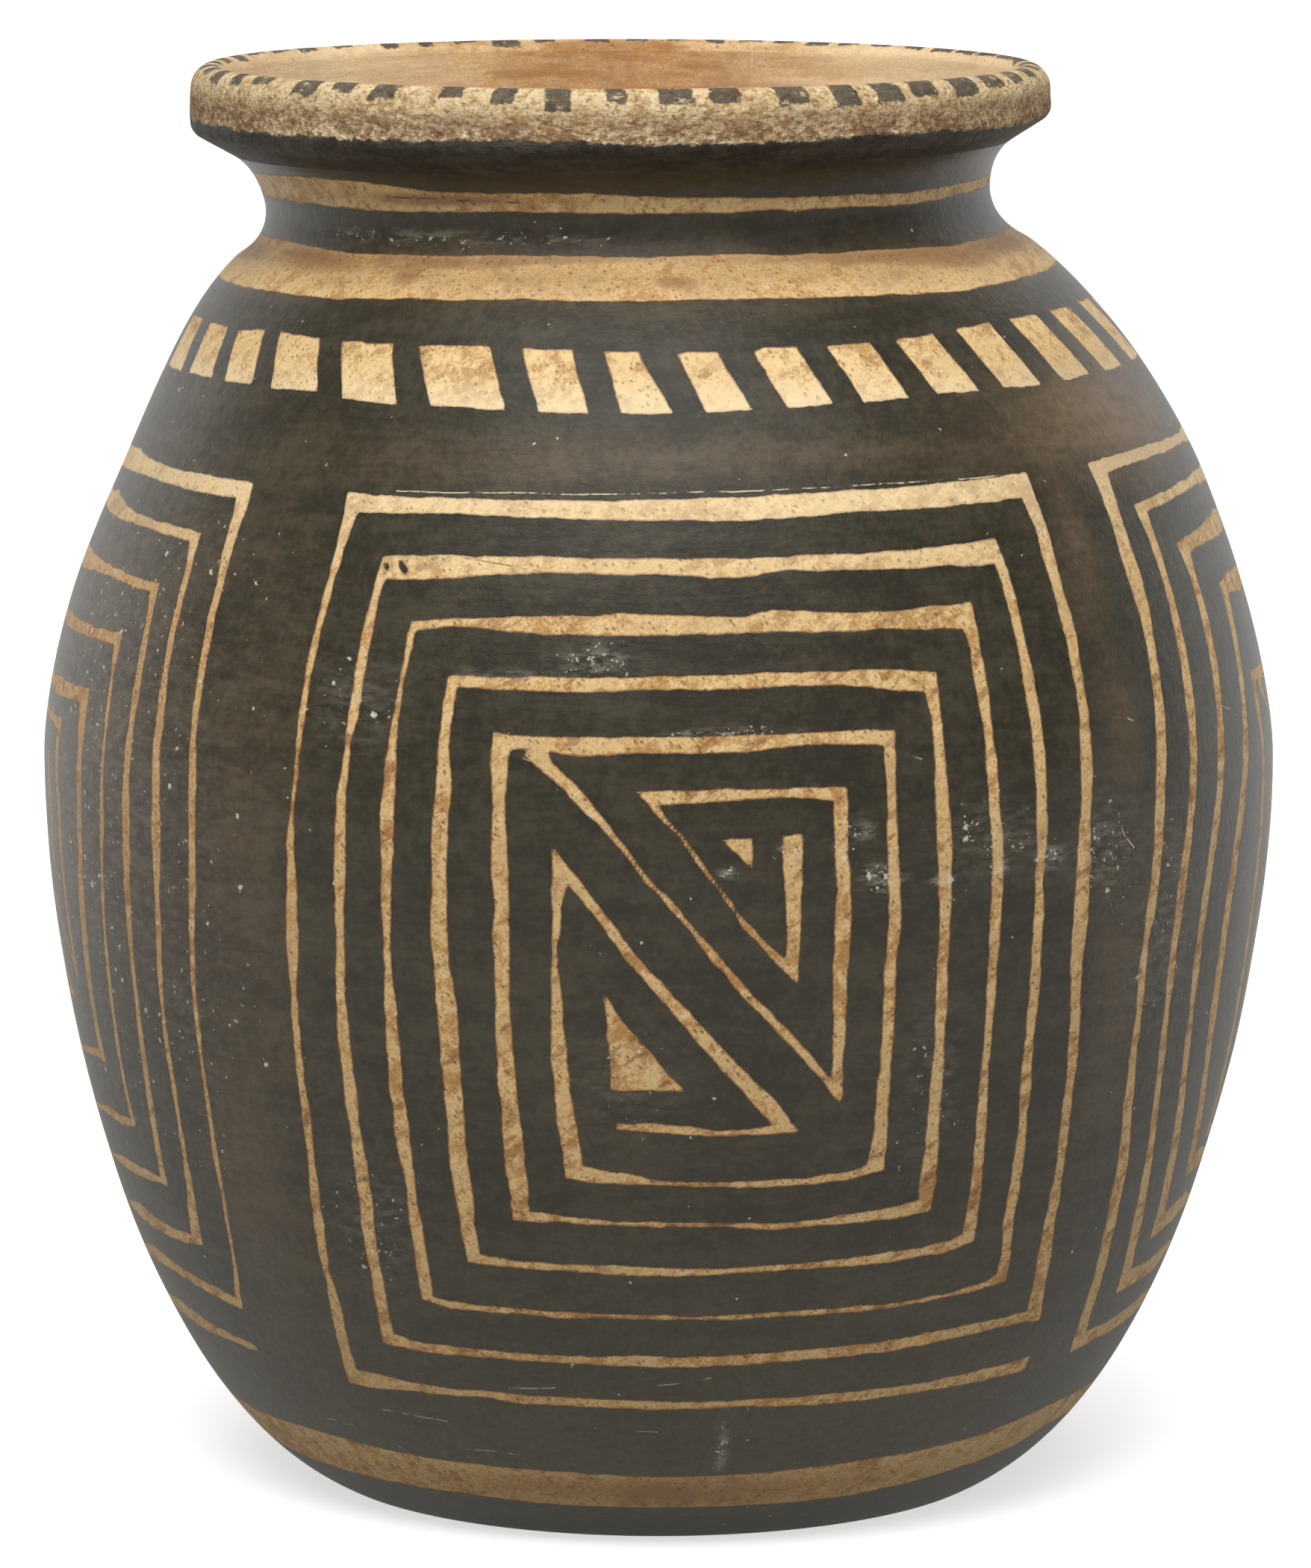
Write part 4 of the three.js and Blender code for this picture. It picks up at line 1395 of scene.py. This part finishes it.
# Chalky dust caught in the burnish
dust += [
    (1182, 1176, 20, 14, 1.0), (1337, 1160, 11, 8, 1.0), (1262, 1178, 12, 6, 0.9),
    (1408, 1146, 18, 16, 0.6), (1365, 1134, 8, 5, 0.8), (1054, 1140, 11, 7, 1.0),
    (1128, 1125, 9, 22, 0.5), (1158, 1113, 12, 10, 0.5), (975, 1170, 10, 8, 0.7), (990, 980, 50, 3, 1.0),
    (940, 981, 30, 3, 0.8), (800, 885, 36, 18, 0.55), (680, 905, 80, 8, 0.3), (1330, 1120, 60, 40, 0.25),
    (480, 940, 50, 60, 0.2), (1480, 1140, 30, 50, 0.4), (1560, 1250, 30, 120, 0.25),
    (250, 1350, 40, 160, 0.15), (1250, 1450, 30, 90, 0.2), (500, 1640, 50, 70, 0.2),
    (840, 1450, 60, 60, 0.15), (967, 1945, 6, 34, 0.7), (575, 318, 70, 9, 0.5), (480, 315, 40, 7, 0.45),
    (700, 322, 80, 6, 0.4), (130, 1050, 90, 350, 0.18),
]
# Scratches: their points, and how chalky they are, or dark where below nought
for points, strong in (
    ([(530, 657), (700, 660), (850, 662), (1000, 657), (1140, 651), (1340, 636)], 0.9),
    ([(514, 1887), (556, 1896), (599, 1904)], 0.8),
    ([(625, 1941), (654, 1943), (700, 1949)], 0.8),
    ([(784, 1912), (820, 1916), (880, 1918)], 0.6),
    ([(440, 1900), (474, 1909)], 0.7),
    ([(680, 1859), (731, 1860), (745, 1859)], 0.8),
    ([(883, 1855), (925, 1850), (960, 1844)], 0.7),
    ([(1215, 1010), (1235, 1016)], 0.7),
    ([(790, 1266), (805, 1278)], 0.8),
    ([(1499, 1088), (1501, 1104), (1507, 1120), (1519, 1134)], 1.0),
    ([(1493, 962), (1505, 959), (1518, 965)], 0.8),
    ([(1637, 945), (1648, 950), (1658, 958)], 0.8),
    ([(1487, 1140), (1493, 1154), (1492, 1170)], 0.9),
    ([(700, 1015), (712, 1021)], 0.5),
    ([(610, 745), (680, 757), (740, 768)], -0.7),
    ([(520, 264), (600, 266), (690, 272)], -1.0),
    ([(960, 1990), (1010, 1996), (1060, 1994)], -0.4),
):
    scratches.append((on_wall(points), strong))


thinnest_stroke = 0.85
widest_stroke = 4.6


def wall_stroke(points):
    """A stroke read off the photograph, as angle, length up the wall and width on the wall."""
    points = np.array(points, float)
    middle = points[:, :2]
    along = np.gradient(middle, axis=0)
    side = np.column_stack([-along[:, 1], along[:, 0]]) / np.hypot(*along.T)[:, None]
    one = on_wall(middle + side * points[:, 2:] / 2)
    other = on_wall(middle - side * points[:, 2:] / 2)
    centre = on_wall(middle)
    radius = np.interp(centre[:, 1], outer_lengths, outer_line[:, 0])
    width = np.hypot((one[:, 0] - other[:, 0]) * radius, one[:, 1] - other[:, 1])
    return np.column_stack([centre, np.clip(width, thinnest_stroke, widest_stroke)])


def stroke_outline(strokes):
    """Closed outline of strokes that follow each other, with the sharp corners between them."""
    lefts, rights = [], []
    for number, stroke in enumerate(strokes):
        radius = np.interp(stroke[:, 1], outer_lengths, outer_line[:, 0])
        steps = np.diff(stroke[:, :2], axis=0)
        steps[:, 0] *= (radius[1:] + radius[:-1]) / 2
        steps /= np.hypot(*steps.T)[:, None]
        across = np.column_stack([-steps[:, 1], steps[:, 0]])
        sides = np.vstack([across[:1], across[1:] + across[:-1], across[-1:]])
        sides /= np.hypot(*sides.T)[:, None]
        offset = sides * stroke[:, 2:] / 2
        offset[:, 0] /= radius
        left, right = stroke[:, :2] + offset, stroke[:, :2] - offset
        if number:
            last_step, last_across, last_width = before
            for side, kept, new in ((1, lefts, left), (-1, rights, right)):
                start = side * last_across * last_width / 2
                end = side * across[0] * stroke[0, 2] / 2
                solved = np.linalg.solve(np.column_stack([last_step, -steps[0]]), end - start)
                corner = start + last_step * solved[0]
                corner[0] /= radius[0]
                kept[-1] = stroke[0, :2] + corner
                new[0] = kept[-1]
            left, right = left[1:], right[1:]
        lefts += list(left)
        rights += list(right)
        before = steps[-1], across[-1], stroke[-1, 2]
    return np.array(lefts + rights[::-1])


def turned(stroke, degrees):
    """A stroke moved round the pot."""
    return stroke + [math.radians(degrees), 0, 0]


front, front_inner, left_seen, right_seen = (
    {name: wall_stroke(points) for name, points in strokes.items()}
    for strokes in (front, front_inner, left_seen, right_seen)
)
shapes += [stroke_outline(list(strokes.values())) for strokes in (front, front_inner)]
shapes += [on_wall(corners) for corners in (small_triangle, solid_triangle)]

# The side spirals are the front one moved round a quarter turn, with the strokes that show put
# in their place, and the one at the back is moved round half a turn. A hidden stroke is led
# over to the part of it that shows within forty degrees.
quarter_turn = 90
lead_over = math.radians(40)
left_lift = 3.5
left_squeeze = 0.86
figure_middle = np.vstack(list(front_inner.values()))[:, 1].mean()


def squeezed(points, share, lift):
    """Points of a figure drawn in towards its middle height, and lifted. In mm."""
    moved = points.copy()
    moved[:, 1] = figure_middle + share * (points[:, 1] - figure_middle) + lift
    return moved


def carried_on(hidden, seen, side):
    """The hidden rest of a stroke, beyond the end of the part that shows."""
    clear_of_end = 0.04
    end = seen[np.argmax(side * seen[:, 0])]
    order = np.argsort(hidden[:, 0])
    jump = end[1] - np.interp(end[0], hidden[order, 0], hidden[order, 1])
    rest = hidden[side * (hidden[:, 0] - end[0]) > clear_of_end]
    rest[:, 1] += jump * (1 - smooth_rise(np.abs(rest[:, 0] - end[0]), 0, lead_over))
    return rest


# Strokes near the pot's edge are hard to read, so a smooth line is laid through their points
near_edge = 1.0
few_points = 8
degree = 4
for strokes in (left_seen, right_seen):
    for stroke in strokes.values():
        if len(stroke) > few_points and np.abs(stroke[:, 0]).mean() > near_edge:
            smooth = np.polyfit(stroke[:, 1], stroke[:, 0], degree)
            stroke[:, 0] = np.polyval(smooth, stroke[:, 1])
for strokes, side, upright in ((left_seen, -1, "right"), (right_seen, 1, "left")):
    spiral = []
    for name, stroke in front.items():
        path = turned(stroke, side * quarter_turn)
        if side < 0 and name in ("left_6", "slope_1", "bottom_7"):
            path = squeezed(path, left_squeeze, left_lift)
        if name in strokes:
            rest = carried_on(path, strokes[name], side)
            if name.startswith(upright):
                rest = rest[:0]
            rest_first = name.startswith("top") == (side < 0)
            path = np.vstack([rest, strokes[name]] if rest_first else [strokes[name], rest])
        if spiral:
            path[0, :2] = spiral[-1][-1, :2]
        spiral.append(path)
    shapes.append(stroke_outline(spiral))
back_spiral = [turned(stroke, 2 * quarter_turn) for stroke in front.values()]
shapes.append(stroke_outline(back_spiral))
for degrees, share, lift in (
    (-quarter_turn, left_squeeze, left_lift),
    (quarter_turn, 1.0, 0.0),
    (2 * quarter_turn, 1.0, 0.0),
):
    figure = [squeezed(turned(stroke, degrees), share, lift) for stroke in front_inner.values()]
    shapes.append(stroke_outline(figure))
    for corners in (small_triangle, solid_triangle):
        shapes.append(squeezed(on_wall(corners) + [math.radians(degrees), 0], share, lift))

for i in range(wall_coils):
    bottom = base_wall_length + i * coil_length
    top = bottom + coil_length
    coil_outer = stretch(outer_line, bottom, top, row_step)
    coil_inner = inside_stretch(top - lap_length, bottom - lap_length, inner_row_step)
    clay_ring(
        f"wall_coil_{i + 1:02d}",
        coil_outer,
        coil_inner,
        np.linspace(bottom, top, len(coil_outer)),
        clays,
    )


# Neck coil
# A coil laid on the shoulder at the crease, which turns the wall upright. A narrow buff stripe
# is left bare round it between two dark ones.
neck_stripe_bottom = [
    (354, 260), (380, 268), (420, 273), (480, 281), (540, 284), (640, 284), (740, 285), (840, 287),
    (940, 286), (1040, 282), (1140, 278), (1220, 275), (1280, 262), (1326, 256),
]
neck_stripe_top = [
    (346, 232), (400, 236), (460, 241), (520, 247), (580, 256), (660, 259), (760, 258), (840, 262),
    (940, 265), (1040, 264), (1140, 261), (1220, 257), (1280, 246), (1326, 230),
]
bands.append((edge_all_round(neck_stripe_bottom), edge_all_round(neck_stripe_top)))
lip_edge_seen = [
    (262, 168), (300, 169), (340, 176), (380, 182), (440, 184), (520, 188), (600, 187), (680, 188),
    (760, 188), (820, 191), (900, 196), (960, 192), (1040, 191), (1080, 190), (1120, 184), (1200, 179),
    (1280, 175), (1340, 172), (1385, 166),
]
lip_edge = edge_all_round(lip_edge_seen)
neck_joint_outer = 0.35
neck_joint_inner = 0.12
neck_joint = throat_length + neck_joint_outer * (flare_end_length - throat_length)
neck_outer = stretch(outer_line, body_length, neck_joint, row_step)
inner_flare_length = lengths_along(inner_flare_line)[-1]
neck_inner = np.vstack(
    [
        stretch(inner_flare_line, neck_joint_inner * inner_flare_length, 0, 1.0),
        stretch(inner_neck_line, lengths_along(inner_neck_line)[-1], 0, 2.0)[1:],
    ]
)
neck_lengths = np.linspace(body_length, neck_joint, len(neck_outer))
clay_ring("neck_coil", neck_outer, neck_inner, neck_lengths, clays, waves=0.35)


# Rim coil
# The next coil is pulled outwards to flare. It is dark outside and bare inside.
rim_outer = stretch(outer_line, neck_joint, flare_end_length, row_step)
lip_joint_inner = 0.72
lip_joint = lip_joint_inner * inner_flare_length
rim_inner = stretch(inner_flare_line, lip_joint, neck_joint_inner * inner_flare_length, 1.0)
rim_lengths = np.linspace(neck_joint, flare_end_length, len(rim_outer))
clay_ring("rim_coil", rim_outer, rim_inner, rim_lengths, clays, waves=0.35)


# Lip coil
# A thick roll laid on the outside of the rim and patted square, with a rounded crest. Handling
# has worn and chipped its face, and short dark ticks cross the crest all round.
lip_row_step = 0.5
crest_end_length = outer_lengths[-1]
crest_middle = length_at((lip_radius - lip_thickness / 2, pot_height))
beyond_crest = 40
bands.append((lip_edge, np.full(columns, crest_end_length + beyond_crest)))

# Left and right edge and lower end of each tick on the near side, and the edges of those on the
# far side, whose ends only just show over the crest
near_ticks = [
    (306, 321, 110), (340, 365, 111), (387, 418, 127), (440, 469, 121), (497, 532, 134), (584, 616, 129),
    (661, 691, 137), (725, 761, 148), (808, 835, 137), (880, 926, 139), (952, 992, 137), (1041, 1083, 140),
    (1118, 1152, 143), (1174, 1211, 139), (1229, 1263, 130), (1283, 1315, 130), (1325, 1349, 117),
]
far_ticks = [
    (317, 340), (348, 372), (380, 405), (429, 454), (491, 512), (543, 560), (594, 626), (705, 735),
    (777, 810), (834, 866), (895, 921), (949, 975), (998, 1029), (1045, 1074), (1092, 1124), (1138, 1163),
    (1180, 1207), (1227, 1251), (1265, 1292), (1295, 1320), (1323, 1345), (1347, 1368),
]
lip_axis_pixel = 829
far_crest_radius = 545
ticks = []
for left, right, bottom in near_ticks:
    (left_angle, low), (right_angle, _) = on_wall([(left, bottom), (right, bottom)])
    ticks.append((left_angle, right_angle, low, crest_middle + chance.uniform(1.5, 3.0)))
for left, right in far_ticks:
    left_angle = math.pi - math.asin((left - lip_axis_pixel) / far_crest_radius)
    right_angle = math.pi - math.asin((right - lip_axis_pixel) / far_crest_radius)
    low = crest_middle - chance.uniform(2.0, 4.5)
    ticks.append((right_angle, left_angle, low, crest_middle + chance.uniform(1.1, 2.1)))
# Where the lip turns away at either side the ticks carry on at the same pitch
tick_pitch = math.radians(7.2)
tick_half = math.radians(2.0)
seen_middles = np.sort([(left + right) / 2 % (2 * math.pi) for left, right, _, _ in ticks])
for before, after in zip(seen_middles, np.append(seen_middles[1:], seen_middles[0] + 2 * math.pi)):
    missing = int(round((after - before) / tick_pitch)) - 1
    for middle in np.linspace(before, after, missing + 2)[1:-1]:
        middle = (middle + math.pi) % (2 * math.pi) - math.pi
        low = crest_middle - chance.uniform(2.0, 4.0)
        ticks.append((middle - tick_half, middle + tick_half, low, crest_middle + chance.uniform(1.5, 2.5)))
for left_angle, right_angle, low, high in ticks:
    slant = chance.uniform(-0.012, 0.012)
    painted_dots.append(
        np.array(
            [
                (left_angle + slant, low),
                (right_angle + slant, low + chance.uniform(-0.5, 0.5)),
                (right_angle, high),
                (left_angle, high + chance.uniform(-0.5, 0.5)),
            ]
        )
    )

worn, tree, shader = surface("worn lip", specular=0.25)
brushed = group(tree, brush_edge, Distance=reading(tree, "bare_slip"), Wander=1.0, Fray=0.7, Soft=0.3)
x, y, z = parts_of(tree, stretched(tree, 1.0, 1.0))
from_axis = calc(tree, "ADD", x, neck_lean * mm)
from_axis = times(tree, from_axis, from_axis)
from_axis = calc(tree, "SQRT", calc(tree, "MULTIPLY_ADD", y, y, from_axis))
face = ease(tree, from_axis, (lip_radius - 6.5) * mm, (lip_radius - 3.0) * mm)
pale = blend(tree, face, inner_pale, colour("efd9ad"))
deep = blend(tree, face, inner_deep, colour("b99a6c"))
slip = group(tree, buff_slip, Pale=pale, Deep=deep, Pin_Holes=0.1, Stain=0.2, Streaks=0.4)
paint = group(tree, dark_paint, Deep=colour("34312d"), Thin=colour("57524a"))
# Its face is browned and flaked between its lower edge and the crest
lip_low = lip_face_bottom * mm
rough = noise(tree, stretched(tree, 1.0, 1.8), 150.0, 5.0, 0.65)
lumps = noise(tree, stretched(tree, 1.0, 1.4), 620.0, 4.0, 0.72)
crumbs = noise(tree, stretched(tree, 1.0, 1.3), 900.0, 2.0, 0.5)
uneven = calc(tree, "MULTIPLY_ADD", calc(tree, "SUBTRACT", rough, 0.5), 0.008, z)
stain = ease(tree, uneven, lip_low + 0.004, lip_low + 0.008, 1.0, 0.1)
stain = times(tree, ease(tree, uneven, lip_low, lip_low + 0.002), stain)
patchy = calc(tree, "MULTIPLY_ADD", rough, 0.5, times(tree, lumps, 0.5))
worn_face = times(tree, stain, face)
stain = times(tree, worn_face, ease(tree, patchy, 0.43, 0.55, 0.3, 0.92))
marks = group(tree, hand_wiped, Slip=slip["Color"])
coat = blend(tree, face, marks["Color"], slip["Color"])
coat = blend(tree, stain, coat, colour("8a674a"))
flakes = ease(tree, uneven, lip_low + 0.001, lip_low + 0.004, 1.0, 0.35)
flakes = times(tree, ease(tree, crumbs, 0.55, 0.63), flakes)
coat = blend(tree, times(tree, flakes, times(tree, face, 0.7)), coat, colour("f0e2c2"))
hollow = times(tree, ease(tree, crumbs, 0.43, 0.35), face)
coat = blend(tree, times(tree, hollow, 0.5), coat, colour("5f4630"))
worn_through = ease(tree, noise(tree, stretched(tree, 1.0, 2.0), 420.0, 4.0, 0.7), 0.55, 0.68, 0.12, 0.9)
on_crest = ease(tree, z, lip_low + 0.004, lip_low + 0.006)
worn_through = times(tree, worn_through, on_crest)
bare = calc(tree, "MAXIMUM", brushed["Bare"], worn_through)
put(tree, blend(tree, bare, paint["Color"], coat), shader.inputs["Base Color"])
put(tree, calc(tree, "MULTIPLY_ADD", bare, 0.2, 0.6), shader.inputs["Roughness"])
bumps = calc(tree, "MULTIPLY_ADD", crumbs, 0.8, times(tree, rough, 3.0))
bumps = calc(tree, "MULTIPLY_ADD", lumps, 1.7, bumps)
tall = calc(tree, "MULTIPLY_ADD", marks["Strokes"], 1.2, slip["Height"])
tall = calc(tree, "MULTIPLY_ADD", bumps, face, tall)
raise_surface(tree, shader, tall, depth=0.0003)

lip_outer = np.vstack(
    [
        stretch(outer_line, flare_end_length, crest_start_length, lip_row_step),
        stretch(crest_line, 0, lengths_along(crest_line)[-1], lip_row_step)[1:],
    ]
)
crest_run = crest_line[-1] - crest_line[-2]
crest_run /= np.hypot(*crest_run)
rounding = 4.5
rounding_hold = 2.2
inside_start = stretch(inner_flare_line, inner_flare_length - rounding, inner_flare_length, 0.1)
flare_run = inside_start[0] - inside_start[1]
flare_run /= np.hypot(*flare_run)
inside_rounding = curve(
    crest_line[-1],
    crest_line[-1] + rounding_hold * crest_run,
    inside_start[0] - rounding_hold * flare_run,
    inside_start[0],
)
lip_inner = np.vstack(
    [
        stretch(inside_rounding, 0, lengths_along(inside_rounding)[-1], 0.7)[1:],
        stretch(inner_flare_line, inner_flare_length - rounding, lip_joint, 1.0)[1:],
    ]
)
lip_lengths = flare_end_length + lengths_along(lip_outer)
lip_clays = (worn, wiped, raw)
clay_ring(
    "lip_coil", lip_outer, lip_inner, lip_lengths, lip_clays, waves=0.35, grit=0.35, rolled=1
)


# Floor and backdrop
# A plain pale floor that carries the pot's shadow. Towards the back it is white for the camera
# and for the polish of the pot, so it runs into the lit wall behind.
floor_size = 30.0


def sheet(name, corners, material):
    """A flat sheet with four corners."""
    mesh = bpy.data.meshes.new(name)
    mesh.from_pydata(corners, [], [(0, 1, 2, 3)])
    mesh.materials.append(material)
    made = bpy.data.objects.new(name, mesh)
    bpy.context.scene.collection.objects.link(made)
    return made


paper, tree, shader = surface("pale paper", specular=0.0)
path = node(tree, "ShaderNodeLightPath").outputs
back = parts_of(tree, stretched(tree, 1.0, 1.0))[1]
lit_behind = times(tree, path["Is Glossy Ray"], ease(tree, back, -0.1, 0.9, 0.27, 1.0))
floor_pale, floor_seen = (0.3, 0.29, 0.27, 1), (0.8, 0.8, 0.8, 1)
put(tree, blend(tree, path["Is Camera Ray"], floor_pale, floor_seen), shader.inputs["Base Color"])
paper_white = times(tree, path["Is Camera Ray"], ease(tree, back, 0.3, 1.2, 0.62, 1.0))
put(tree, calc(tree, "ADD", paper_white, lit_behind), shader.inputs["Emission Strength"])
shader.inputs["Emission Color"].default_value = (1, 1, 1, 1)
shader.inputs["Roughness"].default_value = 1.0
half = floor_size / 2
floor = sheet("floor", [(-half, -half, 0), (half, -half, 0), (half, half, 0), (-half, half, 0)], paper)

# A lit white wall behind, which the camera and the polish of the pot see and nothing else
wall_width = 28.0
wall_height = 6.5
wall_place = 7.0
lit, tree, shader = surface("lit backdrop", specular=0.0)
path = node(tree, "ShaderNodeLightPath").outputs
shader.inputs["Base Color"].default_value = (0.3, 0.3, 0.3, 1)
shader.inputs["Emission Color"].default_value = (1, 1, 1, 1)
seen = calc(tree, "MAXIMUM", path["Is Camera Ray"], path["Is Glossy Ray"])
put(tree, seen, shader.inputs["Emission Strength"])
half = wall_width / 2
wall_corners = [
    (-half, wall_place, 0),
    (half, wall_place, 0),
    (half, wall_place, wall_height),
    (-half, wall_place, wall_height),
]
backdrop = sheet("backdrop", wall_corners, lit)

world = bpy.data.worlds.new("studio")
bpy.context.scene.world = world
world.use_nodes = True
sky = world.node_tree
path = node(sky, "ShaderNodeLightPath")
background = sky.nodes["Background"]
background.inputs["Color"].default_value = (1, 1, 1, 1)
strength = calc(sky, "MULTIPLY_ADD", path.outputs["Is Camera Ray"], 0.56, 0.44)
strength = calc(sky, "MULTIPLY_ADD", path.outputs["Is Glossy Ray"], -0.24, strength)
put(sky, strength, background.inputs["Strength"])


def lamp(name, place, aim, size, power, shine):
    """A large soft lamp that points at the pot, and may or may not show in its polish."""
    data = bpy.data.lights.new(name, "AREA")
    data.shape = "RECTANGLE"
    data.size, data.size_y = size
    data.energy = power
    made = bpy.data.objects.new(name, data)
    made.location = place
    away = np.subtract(place, aim)
    tilt = math.acos(away[2] / np.linalg.norm(away))
    made.rotation_euler = (tilt, 0, math.atan2(away[1], away[0]) + math.pi / 2)
    made.visible_glossy = shine
    bpy.context.scene.collection.objects.link(made)


lamp("key", place=(-0.18, -1.1, 1.6), aim=(0, 0, 0.15), size=(1.2, 0.9), power=19.5, shine=False)
lamp("sheen", place=(-0.1, -1.0, 1.7), aim=(0, 0, 0.15), size=(1.8, 1.2), power=11, shine=True)
lamp("top", place=(0.1, 0.2, 1.5), aim=(0, 0, 0.2), size=(1.6, 1.2), power=5, shine=False)

bpy.context.scene.view_settings.view_transform = "Standard"
